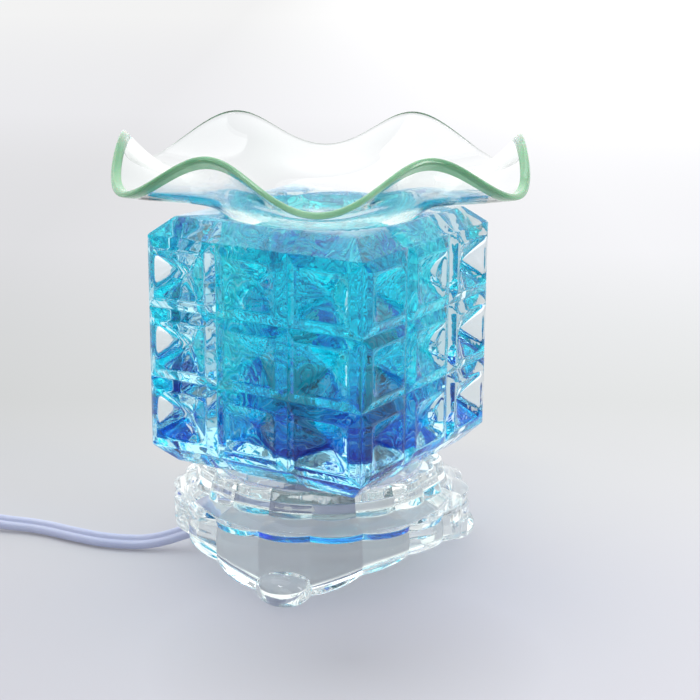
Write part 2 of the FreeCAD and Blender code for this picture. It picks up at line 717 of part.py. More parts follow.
def holder_screws():
    """Two cross screws that hold the ceramic between the bracket's arms."""
    solids = []
    for side in (-1, 1):
        z = HOLDER_Z + HOLDER_SCREW_RISE
        face = Vec(side * BRACKET_LENGTH / 2, 0, z)
        inward = SIDE * -side
        shank = Part.makeCylinder(HOLDER_SCREW_RADIUS, HOLDER_SCREW_LENGTH - SEAT_GAP, face, inward)
        head = Part.makeCylinder(HOLDER_SCREW_HEAD, HOLDER_SCREW_HEAD_HEIGHT, face, SIDE * side)
        slot_at = face + SIDE * side * (HOLDER_SCREW_HEAD_HEIGHT * 3 / 4)
        slot = block(HOLDER_SCREW_HEAD_HEIGHT, HOLDER_SCREW_HEAD * 2, HOLDER_SCREW_RADIUS / 2, slot_at)
        slot.translate(UP * -HOLDER_SCREW_RADIUS / 4)
        solids.append(shank.fuse(head).cut(slot))
    return Part.makeCompound(solids)


def holder_contacts():
    """Two spring leaves, each folded round the place of one lamp pin."""
    solids = []
    for side in (-1, 1):
        base = Vec(side * PIN_SPACING / 2, 0, HOLDER_TOP - HOLDER_SLOT_DEPTH)
        outer = block(HOLDER_SLOT_WIDTH - RUN_GAP * 2, CONTACT_WIDTH, CONTACT_HEIGHT, base)
        room = HOLDER_SLOT_WIDTH - RUN_GAP * 2 - CONTACT_SHEET * 2
        solids.append(outer.cut(block(room, CONTACT_WIDTH, CONTACT_HEIGHT, base + UP * CONTACT_SHEET)))
    return Part.makeCompound(solids)


def lamp_pins():
    """Two round-ended wire pins below the lamp's pinch."""
    solids = []
    for side in (-1, 1):
        top = PINCH_Z + PIN_EMBED
        low = PINCH_Z - PIN_LENGTH + PIN_LOOP_RADIUS
        x = side * PIN_SPACING / 2
        pin = Part.makeCylinder(PIN_RADIUS, top - low, Vec(x, 0, low))
        tip = Part.makeSphere(PIN_LOOP_RADIUS, Vec(x, 0, low))
        solids.append(pin.fuse(tip))
    return Part.makeCompound(solids)


def lamp_pins_room():
    """The holes that the pins leave in the pinch."""
    solids = []
    for side in (-1, 1):
        x = side * PIN_SPACING / 2
        solids.append(Part.makeCylinder(PIN_RADIUS, PIN_EMBED, Vec(x, 0, PINCH_Z)))
    return solids


def lamp_capsule():
    """Quartz capsule: flat pinch, round body, domed top and the sealed-off nub."""
    pinch = rounded_block(PINCH_LENGTH, PINCH_THICK, PINCH_HEIGHT, UP * PINCH_Z, PINCH_EDGE, 0)
    straight = CAPSULE_HEIGHT - CAPSULE_RADIUS - CAPSULE_NUB_HEIGHT
    body = capsule_form(CAPSULE_RADIUS, CAPSULE_Z, straight, CAPSULE_SHOULDER)
    nub_z = CAPSULE_Z + straight + CAPSULE_RADIUS - OVERRUN
    nub_height = CAPSULE_NUB_HEIGHT + OVERRUN
    nub = Part.makeCone(CAPSULE_NUB_RADIUS, CAPSULE_NUB_RADIUS / 4, nub_height, UP * nub_z)
    room_radius = CAPSULE_RADIUS - CAPSULE_GLASS
    room_z = CAPSULE_Z + CAPSULE_GLASS
    room = capsule_form(room_radius, room_z, straight - CAPSULE_GLASS, CAPSULE_SHOULDER - CAPSULE_GLASS)
    return pinch.fuse(body).fuse(nub).cut(room).cut(lamp_pins_room())


def capsule_form(radius, z, straight, shoulder):
    """An upright cylinder with a rounded lower edge and a half ball on top."""
    body = disc(radius, straight, z)
    lower = [e for e in body.Edges if e.isClosed() and e.BoundBox.ZMax < z + shoulder]
    body = body.makeFillet(shoulder, lower)
    return body.fuse(Part.makeSphere(radius, UP * (z + straight)))


def lamp_filament():
    """Cross filament on two posts that stand in the capsule's floor."""
    floor = CAPSULE_Z + CAPSULE_GLASS
    top = floor + FILAMENT_RISE
    solid = Part.makeCylinder(FILAMENT_RADIUS, FILAMENT_SPAN, Vec(-FILAMENT_SPAN / 2, 0, top), SIDE)
    for side in (-1, 1):
        x = side * (FILAMENT_SPAN / 2 - FILAMENT_POST_RADIUS)
        solid = solid.fuse(Part.makeCylinder(FILAMENT_POST_RADIUS, top - floor, Vec(x, 0, floor)))
    return solid


def inner_leads():
    """Two insulated cores up the threaded tube, each ending under its ferrule."""
    solids = []
    low = ELBOW_Z + ELBOW_EDGE + SEAT_GAP
    for side in (-1, 1):
        start = Vec(side * CORE_SPACING / 2, 0, low)
        solids.append(Part.makeCylinder(CORE_RADIUS, HOLDER_Z - low, start))
    return Part.makeCompound(solids)


def lead_ferrules():
    """Crimped end sleeves of the two cores, inside the holder."""
    solids = []
    for side in (-1, 1):
        start = Vec(side * CORE_SPACING / 2, 0, HOLDER_Z)
        solids.append(Part.makeCylinder(FERRULE_RADIUS, FERRULE_LENGTH, start))
    return Part.makeCompound(solids)


# Leads


def arc_between(start, heading, end):
    """The arc that leaves start along heading and arrives at end."""
    chord = end - start
    along = heading.dot(chord) / chord.Length
    sideways = heading - chord * (along / chord.Length)
    bend = math.acos(max(-1.0, min(1.0, along)))
    rise = chord.Length / 2 * math.tan(bend / 2)
    middle = (start + end) * 0.5 + sideways.normalize() * rise
    return Part.Arc(start, middle, end).toShape()


def biarc(start, heading, end, arrival):
    """Two arcs that join two points smoothly, leaving and arriving along given headings."""
    gap = end - start
    both = heading + arrival
    spread = 2 * (1 - heading.dot(arrival))
    reach = (-gap.dot(both) + math.sqrt(gap.dot(both) ** 2 + spread * gap.dot(gap))) / spread
    joint = (start + end + (heading - arrival) * reach) * 0.5
    first = arc_between(start, heading, joint)
    second = arc_between(end, arrival * -1, joint)
    return [first, second]


def rounded_route(points, name):
    """Straight runs joined by arcs as large as the runs allow. Prints the radii."""
    edges = []
    radii = []
    here = points[0]
    for k in range(1, len(points) - 1):
        back = points[k - 1] - points[k]
        ahead = points[k + 1] - points[k]
        turn = math.pi - back.getAngle(ahead)
        cut = RUN_SHARE * min(back.Length, ahead.Length)
        radii.append(cut / math.tan(turn / 2))
        a = points[k] + back.normalize() * cut
        b = points[k] + ahead.normalize() * cut
        edges.append(Part.LineSegment(here, a).toShape())
        edges.append(arc_between(a, back * -1, b))
        here = b
    edges.append(Part.LineSegment(here, points[-1]).toShape())
    print(name, "arc radii", [round(r, 1) for r in radii], "turn limit", round(LEAD_WIDTH * 5, 1))
    return Part.Wire(edges)


def tube_along(path, radius, name):
    """A round tube swept along a smooth path. Prints its length and checks its volume."""
    first = path.Edges[0]
    start = first.valueAt(first.FirstParameter)
    heading = first.tangentAt(first.FirstParameter)
    ring = Part.Wire([Part.makeCircle(radius, start, heading)])
    sweep = Part.BRepOffsetAPI.MakePipeShell(path)
    sweep.add(ring, False, False)
    sweep.build()
    sweep.makeSolid()
    solid = sweep.shape()
    expected = math.pi * radius ** 2 * path.Length
    print(name, "length", round(path.Length, 1), "volume share", round(solid.Volume / expected, 4))
    return solid


def coil_place(turns):
    """Point and heading on the coil after some turns from its outer end."""
    out_again = COIL_LAYER_TURNS + COIL_CLIMB_TURNS
    climb = min(max((turns - COIL_LAYER_TURNS) / COIL_CLIMB_TURNS, 0.0), 1.0)
    if turns <= COIL_LAYER_TURNS:
        radius = COIL_OUTER - COIL_STEP * turns
    elif turns <= out_again:
        radius = COIL_INNER - COIL_STEP * COIL_CLIMB_TURNS * climb * (1 - climb)
    else:
        radius = COIL_INNER + COIL_STEP * (turns - out_again)
    rate = COIL_STEP * (2 * climb - 1)
    slope = COIL_STEP * 6 * climb * (1 - climb) / COIL_CLIMB_TURNS
    angle = math.radians(COIL_START_ANGLE) + 2 * math.pi * turns
    outward = Vec(math.cos(angle), math.sin(angle), 0)
    around = Vec(-math.sin(angle), math.cos(angle), 0)
    place = COIL_CENTRE + outward * radius + UP * (COIL_STEP * climb * climb * (3 - 2 * climb))
    heading = around * (2 * math.pi * radius) + outward * rate + UP * slope
    return place, heading.normalize()


def coil_path():
    """The spare length: in along the floor layer, up in the half turn between, and out on top."""
    per_layer = math.ceil(COIL_LAYER_TURNS * COIL_BIARCS_PER_TURN)
    out_again = COIL_LAYER_TURNS + COIL_CLIMB_TURNS
    stops = [COIL_LAYER_TURNS * k / per_layer for k in range(per_layer + 1)]
    stops.append(COIL_LAYER_TURNS + COIL_CLIMB_TURNS / 2)
    stops += [out_again + COIL_LAYER_TURNS * k / per_layer for k in range(per_layer + 1)]
    places = [coil_place(stop) for stop in stops]
    first, first_heading = places[0]
    last, last_heading = places[-1]
    end = last + last_heading * LEAD_WIDTH
    edges = [Part.LineSegment(first - first_heading * LEAD_WIDTH, first).toShape()]
    for k in range(len(places) - 1):
        edges += biarc(places[k][0], places[k][1], places[k + 1][0], places[k + 1][1])
    edges.append(Part.LineSegment(last, end).toShape())
    path = Part.Wire(Part.sortEdges(edges)[0])
    print_coil_gap(path)
    return path, end, last_heading


def print_coil_gap(path):
    """Prints the least gap of the coil to itself, measured on points along its path."""
    count = round(path.Length / TUBE_LEAD_RADIUS)
    points = path.discretize(Number=count)
    apart = round(count * math.pi * COIL_INNER / path.Length)
    least = path.Length
    for k in range(count - apart):
        least = min(least, min(points[k].distanceToPoint(other) for other in points[k + apart:]))
    print("lead_coil least gap to itself", round(least - LEAD_WIDTH, 2), "turns", COIL_TOTAL_TURNS)


def coil_tie():
    """Strap round the coil's bundle, with its small locking head on top."""
    first_turn = (TIE_ANGLE - COIL_START_ANGLE) / 360.0 % 1
    outermost = coil_place(first_turn)[0]
    innermost = coil_place(first_turn + math.floor(COIL_LAYER_TURNS))[0]
    climbed = UP * (innermost.z - COIL_CENTRE.z)
    reach_in = innermost.distanceToPoint(COIL_CENTRE + climbed) - LEAD_WIDTH / 2 - TIE_GAP
    reach_out = outermost.distanceToPoint(COIL_CENTRE) + LEAD_WIDTH / 2 + TIE_GAP
    low = COIL_CENTRE.z - LEAD_WIDTH / 2 - TIE_GAP
    high = COIL_CENTRE.z + COIL_STEP + LEAD_WIDTH / 2 + TIE_GAP
    span = reach_out - reach_in
    middle = (reach_in + reach_out) / 2
    height = high - low
    strap = block(span + TIE_THICK * 2, TIE_WIDTH, height + TIE_THICK * 2, Vec(middle, 0, low - TIE_THICK))
    strap = strap.cut(block(span, TIE_WIDTH, height, Vec(middle, 0, low)))
    head = block(TIE_HEAD_LENGTH, TIE_HEAD_WIDTH, TIE_HEAD_HEIGHT, Vec(middle, 0, high))
    solid = strap.fuse(head).removeSplitter()
    solid.rotate(ZERO, UP, TIE_ANGLE)
    solid.translate(Vec(COIL_CENTRE.x, COIL_CENTRE.y, 0))
    return solid


# Inline dimmer


def dimmer_middle():
    """Centre of the dimmer's footprint."""
    return DIMMER_START - SIDE * (DIMMER_LENGTH / 2)


def wheel_centre():
    """Where the thumb wheel's axis stands."""
    middle = dimmer_middle()
    return Vec(middle.x, middle.y - DIMMER_WIDTH / 2 + WHEEL_RADIUS - WHEEL_PROUD, 0)


def dimmer_shell(upper):
    """One half of the dimmer's case: hollow, with ports for the lead and a slot for the wheel."""
    middle = dimmer_middle()
    solid = rounded_block(DIMMER_LENGTH, DIMMER_WIDTH, DIMMER_HEIGHT, middle, DIMMER_CORNER, DIMMER_EDGE)
    room = rounded_block(
        DIMMER_LENGTH - DIMMER_WALL * 2,
        DIMMER_WIDTH - DIMMER_WALL * 2,
        DIMMER_HEIGHT - DIMMER_WALL * 2,
        middle + UP * DIMMER_WALL,
        DIMMER_CORNER - DIMMER_WALL,
        0,
    )
    solid = solid.cut(room)
    for x, y in dimmer_posts():
        post_height = DIMMER_HEIGHT - DIMMER_WALL
        post = disc(DIMMER_SCREW_RADIUS + DIMMER_POST_WALL, post_height, DIMMER_WALL / 2, 0, Vec(x, y, 0))
        solid = solid.fuse(post)
    if upper:
        below = DIMMER_SPLIT_Z + DIMMER_SPLIT_GAP / 2
        solid = solid.cut(block(DIMMER_LENGTH * 2, DIMMER_WIDTH * 2, below, middle))
    else:
        top = middle + UP * (DIMMER_SPLIT_Z - DIMMER_SPLIT_GAP / 2)
        solid = solid.cut(block(DIMMER_LENGTH * 2, DIMMER_WIDTH * 2, DIMMER_HEIGHT, top))
    port_radius = TUBE_LEAD_RADIUS + GROMMET_WALL + DIMMER_PORT_GAP
    port_start = middle + UP * DIMMER_CORD_Z - SIDE * DIMMER_LENGTH
    solid = solid.cut(Part.makeCylinder(port_radius, DIMMER_LENGTH * 2, port_start, SIDE))
    slot_height = WHEEL_THICK + WHEEL_SLOT_GAP * 2
    slot = disc(WHEEL_RADIUS + WHEEL_SLOT_GAP, slot_height, WHEEL_LOW_Z - WHEEL_SLOT_GAP, 0, wheel_centre())
    solid = solid.cut(slot)
    for x, y in dimmer_posts():
        base = Vec(x, y, 0)
        hole = disc(DIMMER_SCREW_RADIUS + RUN_GAP, DIMMER_SCREW_LENGTH + DIMMER_SCREW_HEAD_HEIGHT, 0, 0, base)
        sink = disc(DIMMER_SCREW_HEAD + RUN_GAP, DIMMER_SCREW_HEAD_HEIGHT * 2, 0, 0, base)
        solid = solid.cut(hole).cut(sink)
    return solid


def dimmer_posts():
    """Places of the two case screws, at opposite corners."""
    middle = dimmer_middle()
    return [
        (middle.x - DIMMER_SCREW_X, middle.y + DIMMER_SCREW_Y),
        (middle.x + DIMMER_SCREW_X, middle.y + DIMMER_SCREW_Y),
    ]


def dimmer_screws():
    """Two screws up into the upper case, sunk in the lower one."""
    solids = []
    sink = DIMMER_SCREW_HEAD_HEIGHT
    for x, y in dimmer_posts():
        base = Vec(x, y, 0)
        head = disc(DIMMER_SCREW_HEAD, sink, sink, 0, base)
        shank = disc(DIMMER_SCREW_RADIUS, DIMMER_SCREW_LENGTH - sink * 2, sink * 2, 0, base)
        slot = block(DIMMER_SCREW_HEAD * 2, DIMMER_SCREW_HEAD / 4, sink / 2, base + UP * sink)
        solids.append(head.fuse(shank).cut(slot))
    return Part.makeCompound(solids)


def dimmer_grommets():
    """Two soft sleeves where the lead enters and leaves the dimmer."""
    solids = []
    radius = TUBE_LEAD_RADIUS + GROMMET_WALL
    for x in (DIMMER_START.x, DIMMER_START.x - DIMMER_LENGTH + GROMMET_LENGTH):
        start = Vec(x - GROMMET_LENGTH, DIMMER_START.y, DIMMER_CORD_Z)
        solids.append(Part.makeCylinder(radius, GROMMET_LENGTH, start, SIDE))
    return Part.makeCompound(solids)


def dimmer_wheel():
    """Thumb wheel with a ridged edge and a dimple that shows its setting."""
    centre = wheel_centre()
    core = WHEEL_RADIUS - WHEEL_RIDGE_RADIUS / 2
    solid = disc(core, WHEEL_THICK, WHEEL_LOW_Z, 0, centre)
    ridges = []
    for k in range(WHEEL_RIDGES):
        at = centre + polar(core, 360.0 * k / WHEEL_RIDGES)
        ridges.append(disc(WHEEL_RIDGE_RADIUS / 2, WHEEL_THICK, WHEEL_LOW_Z, 0, at))
    solid = solid.fuse(ridges)
    solid = solid.cut(disc(SHAFT_RADIUS, WHEEL_THICK, WHEEL_LOW_Z, 0, centre))
    mark_z = WHEEL_LOW_Z + WHEEL_THICK - WHEEL_MARK_DEPTH
    mark = centre + DEPTH * (WHEEL_MARK_RADIUS * 2 - WHEEL_RADIUS)
    return solid.cut(disc(WHEEL_MARK_RADIUS, WHEEL_MARK_DEPTH, mark_z, 0, mark))


def pot_z():
    """Underside of the potentiometer, on top of the board."""
    return DIMMER_WALL + BOARD_LIFT + BOARD_THICK


def dimmer_shaft():
    """Shaft pressed into the wheel, turning in the potentiometer below it."""
    low = pot_z() + SEAT_GAP
    return disc(SHAFT_RADIUS, WHEEL_LOW_Z + WHEEL_THICK + SHAFT_ABOVE_WHEEL - low, low, 0, wheel_centre())


def dimmer_pot():
    """Flat potentiometer body with the bore its shaft turns in."""
    height = WHEEL_LOW_Z - WHEEL_SLOT_GAP - pot_z()
    return disc(POT_RADIUS, height, pot_z(), SHAFT_RADIUS + RUN_GAP, wheel_centre())


def dimmer_board():
    """Circuit board on two low pads, with notches for the case posts."""
    middle = dimmer_middle()
    solid = block(BOARD_LENGTH, BOARD_WIDTH, BOARD_THICK, middle + UP * (DIMMER_WALL + BOARD_LIFT))
    pad = block(BOARD_WIDTH / 2, BOARD_WIDTH / 2, BOARD_LIFT, middle + UP * DIMMER_WALL)
    solid = solid.fuse(pad)
    reach = DIMMER_SCREW_RADIUS + DIMMER_POST_WALL + SEAT_GAP
    for x, y in dimmer_posts():
        solid = solid.cut(disc(reach, DIMMER_HEIGHT, 0, 0, Vec(x, y, 0)))
    return solid


def board_piece(size, offset):
    """One block-shaped electronic piece standing on the board."""
    return block(size.x, size.y, size.z, dimmer_middle() + offset + UP * pot_z())


def dimmer_terminals():
    """Two terminal blocks on the board, one facing each end of the lead."""
    reach = DIMMER_LENGTH / 2 - GROMMET_LENGTH - TERMINAL_SETBACK - TERMINAL_SIZE.x / 2
    return Part.makeCompound([board_piece(TERMINAL_SIZE, SIDE * side * reach) for side in (-1, 1)])


def dimmer_cores():
    """The lead's two cores at each end, from its sleeve to its terminal block."""
    solids = []
    for side in (-1, 1):
        for row in (-1, 1):
            start = dimmer_middle() + SIDE * side * (DIMMER_LENGTH / 2 - GROMMET_LENGTH)
            start += DEPTH * row * CORE_SPACING / 2 + UP * DIMMER_CORD_Z
            solids.append(Part.makeCylinder(CORE_RADIUS, TERMINAL_SETBACK, start, SIDE * -side))
    return Part.makeCompound(solids)


# Plug


def plug_pieces(end, heading):
    """Tail of the lead, moulded plug with its boot, and the two blades, from the coil's end."""
    across = UP.cross(heading)
    frame = FreeCAD.Placement(end, FreeCAD.Rotation(heading, across, UP, "XYZ"))
    tail = Part.makeCylinder(TUBE_LEAD_RADIUS, PLUG_TAIL, ZERO, SIDE)
    boot_tip = TUBE_LEAD_RADIUS + GROMMET_WALL
    boot = Part.makeCone(boot_tip, PLUG_BOOT_RADIUS, PLUG_BOOT_LENGTH, SIDE * PLUG_TAIL, SIDE)
    body_start = PLUG_TAIL + PLUG_BOOT_LENGTH
    half_height = PLUG_HEIGHT / 2
    body = block(PLUG_LENGTH, PLUG_WIDTH, PLUG_HEIGHT, Vec(body_start + PLUG_LENGTH / 2, 0, -half_height))
    body = body.makeFillet(PLUG_EDGE, body.Edges)
    body = body.fuse(boot)
    blades = []
    for side in (-1, 1):
        start = body_start + PLUG_LENGTH
        y = side * BLADE_SPACING / 2
        blade_corner = Vec(start, y - BLADE_THICK / 2, -BLADE_WIDTH / 2)
        blade = Part.makeBox(BLADE_LENGTH, BLADE_THICK, BLADE_WIDTH, blade_corner)
        far = [e for e in blade.Edges if e.BoundBox.XMin > start + BLADE_LENGTH / 2]
        tip = [e for e in far if e.BoundBox.YLength > BLADE_THICK / 2]
        blade = blade.makeChamfer(BLADE_TIP_CHAMFER, tip)
        hole_x = start + BLADE_LENGTH - BLADE_HOLE_FROM_TIP
        hole = Part.makeCylinder(BLADE_HOLE_RADIUS, BLADE_THICK, Vec(hole_x, y - BLADE_THICK / 2, 0), DEPTH)
        blades.append(blade.cut(hole))
    pieces = [tail, body, Part.makeCompound(blades)]
    for piece in pieces:
        piece.Placement = frame
    return pieces


def main():
    """Builds and saves every piece."""
    os.makedirs("parts", exist_ok=True)
    save("glass_base", glass_base())
    save("seat_gasket", disc(GASKET_RADIUS, GASKET_THICK, BASE_HEIGHT, GASKET_BORE))
    save("glass_block", glass_block())
    save("glass_dish", glass_dish())

    save("threaded_tube", threaded_tube())
    tube_hole = TUBE_RADIUS + RUN_GAP
    save("ceiling_washer", disc(RUBBER_RADIUS, RUBBER_THICK, CEILING_Z - RUBBER_THICK, tube_hole))
    save("steel_washer", disc(STEEL_RADIUS, STEEL_THICK, LOW_NUT_TOP, tube_hole))
    save("clamp_nut", hex_nut(LOW_NUT_BOTTOM))
    save("floor_washer", disc(RUBBER_RADIUS, RUBBER_THICK, FLOOR_Z, tube_hole))
    save("bracket_nut", hex_nut(TOP_NUT_Z))
    save("cord_outlet", cord_outlet())

    save("holder_bracket", holder_bracket())
    save("lamp_holder", lamp_holder())
    save("holder_contacts", holder_contacts())
    save("holder_screws", holder_screws())
    save("lamp_capsule", lamp_capsule())
    save("lamp_pins", lamp_pins())
    save("lamp_filament", lamp_filament())
    save("inner_leads", inner_leads())
    save("lead_ferrules", lead_ferrules())

    save("power_lead", tube_along(rounded_route(LEAD_ROUTE, "power_lead"), TUBE_LEAD_RADIUS, "power_lead"))
    save("coil_link", tube_along(rounded_route(LINK_ROUTE, "coil_link"), TUBE_LEAD_RADIUS, "coil_link"))
    path, coil_end, coil_heading = coil_path()
    save("lead_coil", tube_along(path, TUBE_LEAD_RADIUS, "lead_coil"))
    save("coil_tie", coil_tie())

    save("dimmer_lower_case", dimmer_shell(False))
    save("dimmer_upper_case", dimmer_shell(True))
    save("dimmer_screws", dimmer_screws())
    save("dimmer_grommets", dimmer_grommets())
    save("dimmer_wheel", dimmer_wheel())
    save("dimmer_shaft", dimmer_shaft())
    save("dimmer_pot", dimmer_pot())
    save("dimmer_board", dimmer_board())
    save("dimmer_triac", board_piece(TRIAC_SIZE, TRIAC_OFFSET))
    save("dimmer_capacitor", board_piece(CAPACITOR_SIZE, CAPACITOR_OFFSET))
    save("dimmer_terminals", dimmer_terminals())
    save("dimmer_cores", dimmer_cores())

    tail, body, blades = plug_pieces(coil_end, coil_heading)
    save("plug_tail", tail)
    save("plug_body", body)
    save("plug_blades", blades)


main()
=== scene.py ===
import logging
import math
from dataclasses import dataclass
from enum import Enum
from typing import Iterable, Optional, Sequence, Union

import bmesh
import bpy
import numpy as np
from mathutils import Matrix, Vector


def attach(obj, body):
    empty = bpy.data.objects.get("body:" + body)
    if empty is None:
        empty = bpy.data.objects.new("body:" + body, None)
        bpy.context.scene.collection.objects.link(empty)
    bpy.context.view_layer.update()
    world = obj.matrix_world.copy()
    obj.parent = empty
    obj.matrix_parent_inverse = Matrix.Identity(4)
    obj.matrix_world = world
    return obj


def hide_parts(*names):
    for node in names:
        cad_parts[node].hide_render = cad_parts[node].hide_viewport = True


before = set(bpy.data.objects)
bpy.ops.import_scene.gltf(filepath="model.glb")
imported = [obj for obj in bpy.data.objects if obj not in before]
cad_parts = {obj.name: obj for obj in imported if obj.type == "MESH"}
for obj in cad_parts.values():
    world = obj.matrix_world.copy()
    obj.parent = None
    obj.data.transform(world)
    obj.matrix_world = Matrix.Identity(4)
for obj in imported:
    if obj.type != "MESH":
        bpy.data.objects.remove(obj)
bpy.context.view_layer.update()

# Visual model of a wax melt warmer: a wavy clear glass dish on a blue lined pressed
# glass block and a scalloped glass base, with lamp, flat lead, inline dimmer and plug.
# Sizes are in millimetres, as in the CAD source, and become metres in mesh_piece.

MM = 0.001
LOG = logging.getLogger("warmer")

Point = tuple[float, float, float]
Tree = bpy.types.NodeTree
Socket = bpy.types.NodeSocket
Node = bpy.types.Node
Material = bpy.types.Material
Piece = bpy.types.Object
Stops = Sequence[tuple[float, str]]
Stations = tuple[tuple[float, float, float, float], ...]

# Noise lies mostly between these values: the ends of soft and of clearer patches
SOFT_BAND = (0.3, 0.7)
CLEAR_BAND = (0.35, 0.65)


class Body(Enum):
    """The moving CAD bodies that pieces ride on."""

    ROOT = "root"
    DISH = "dish"
    LAMP = "lamp"
    WHEEL = "wheel"


def srgb(code: str) -> tuple[float, float, float, float]:
    """Linear colour of an sRGB hex code such as #A0B0C0.

    Args:
        code: The hex code.

    Returns:
        Red, green, blue and an alpha of 1.
    """
    values = [int(code[k : k + 2], 16) / 255 for k in (1, 3, 5)]
    linear = [v / 12.92 if v <= 0.04045 else ((v + 0.055) / 1.055) ** 2.4 for v in values]
    return (linear[0], linear[1], linear[2], 1.0)


def add_node(
    tree: Tree, kind: str, inputs: Union[dict, Sequence] = (), stops: Stops = (),
    **settings: object,
) -> Node:
    """Adds a node, sets its properties, and fills or links its inputs.

    Args:
        tree: The node tree it goes in.
        kind: The node's type name.
        inputs: Values in the inputs' order, or input name or number to value. A socket
            is linked, and so is the first output of a node.
        stops: Place and hex colour of each stop, in order, on a colour ramp.
        **settings: Properties of the node itself.

    Returns:
        The new node.
    """
    node = tree.nodes.new(kind)
    for key, value in settings.items():
        setattr(node, key, value)
    for key, value in inputs.items() if isinstance(inputs, dict) else enumerate(inputs):
        if isinstance(value, Node):
            value = value.outputs[0]
        if isinstance(value, Socket):
            tree.links.new(value, node.inputs[key])
        else:
            node.inputs[key].default_value = value
    elements = node.color_ramp.elements if stops else []
    while len(elements) < len(stops):
        elements.new(0.5)
    for element, (spot, code) in zip(elements, stops):
        element.position = spot
        element.color = srgb(code)
    return node


def patches(spot: Socket, size: float, detail: float = 2.0, swirl: float = 0.0) -> dict:
    """Inputs of a noise whose patches are about size millimetres across."""
    return {"Vector": spot, "Scale": 1 / (size * MM), "Detail": detail, "Distortion": swirl}


def relief(height: Node, depth: float) -> dict:
    """Inputs of a bump whose height from 0 to 1 stands for depth millimetres."""
    return {"Height": height, "Distance": depth * MM, "Strength": 1.0}


def let_light_through(tree: Tree, glass: Node, tint: object) -> Node:
    """Lets light that falls through a glass piece reach what is behind it.

    Args:
        tree: The node tree it goes in.
        glass: The glass shader.
        tint: Colour that the light takes, as a socket or linear values.

    Returns:
        The shader for the output.
    """
    path = add_node(tree, "ShaderNodeLightPath").outputs
    way = add_node(tree, "ShaderNodeBsdfTransparent", {"Color": tint})
    soft = add_node(tree, "ShaderNodeMixShader", (path["Is Diffuse Ray"], glass, way))
    return add_node(tree, "ShaderNodeMixShader", (path["Is Shadow Ray"], soft, way))


def new_material(name: str) -> tuple[Material, Tree, Socket]:
    """An empty node material, its tree, and the place on the piece in metres.

    Args:
        name: Name of the material.

    Returns:
        The material, its tree and the socket with the place.
    """
    material = bpy.data.materials.new(name)
    material.use_nodes = True
    tree = material.node_tree
    tree.nodes.clear()
    return material, tree, add_node(tree, "ShaderNodeTexCoord").outputs["Object"]


@dataclass(frozen=True)
class GlassFinish:
    """Clear glass with a faint waviness and, where asked, a colour that grows with depth.

    Args:
        name: Name of the material.
        tint: Colour of the surface where the glass is at its clearest.
        cloud: The nearly equal colour of its slow variation.
        cloud_size: Size of that variation in millimetres.
        ior: Refractive index.
        roughness: Roughness of the polish.
        ripple: Width of the surface waves in millimetres.
        ripple_detail: How many finer waves lie on them.
        ripple_depth: Height of the surface waves in millimetres.
        swirl: How much the waves are drawn into each other.
        depth_tint: Colour that thick glass takes, or nothing.
        depth_density: How fast it takes that colour, per metre.
        light: Linear colour of the light that falls through the piece.
    """

    name: str
    tint: str
    cloud: str
    cloud_size: float = 40.0
    ior: float = 1.5
    roughness: float = 0.0
    ripple: float = 9.0
    ripple_detail: float = 1.0
    ripple_depth: float = 0.03
    swirl: float = 0.4
    depth_tint: str = ""
    depth_density: float = 0.0
    light: tuple[float, ...] = (0.93, 0.94, 0.95, 1.0)

    def build(self) -> Material:
        """The finished material.

        Returns:
            The material.
        """
        material, tree, spot = new_material(self.name)
        clouds = add_node(tree, "ShaderNodeTexNoise", patches(spot, self.cloud_size))
        stops = tuple(zip(SOFT_BAND, (self.tint, self.cloud)))
        inputs = patches(spot, self.ripple, self.ripple_detail, self.swirl)
        waves = add_node(tree, "ShaderNodeTexNoise", inputs)
        inputs = {
            "Base Color": add_node(tree, "ShaderNodeValToRGB", (clouds,), stops),
            "Roughness": self.roughness,
            "IOR": self.ior,
            "Transmission Weight": 1.0,
            "Normal": add_node(tree, "ShaderNodeBump", relief(waves, self.ripple_depth)),
        }
        shader = add_node(tree, "ShaderNodeBsdfPrincipled", inputs)
        output = {"Surface": let_light_through(tree, shader, self.light)}
        if self.depth_tint:
            values = {"Color": srgb(self.depth_tint), "Density": self.depth_density}
            output["Volume"] = add_node(tree, "ShaderNodeVolumeAbsorption", values)
        add_node(tree, "ShaderNodeOutputMaterial", output)
        return material


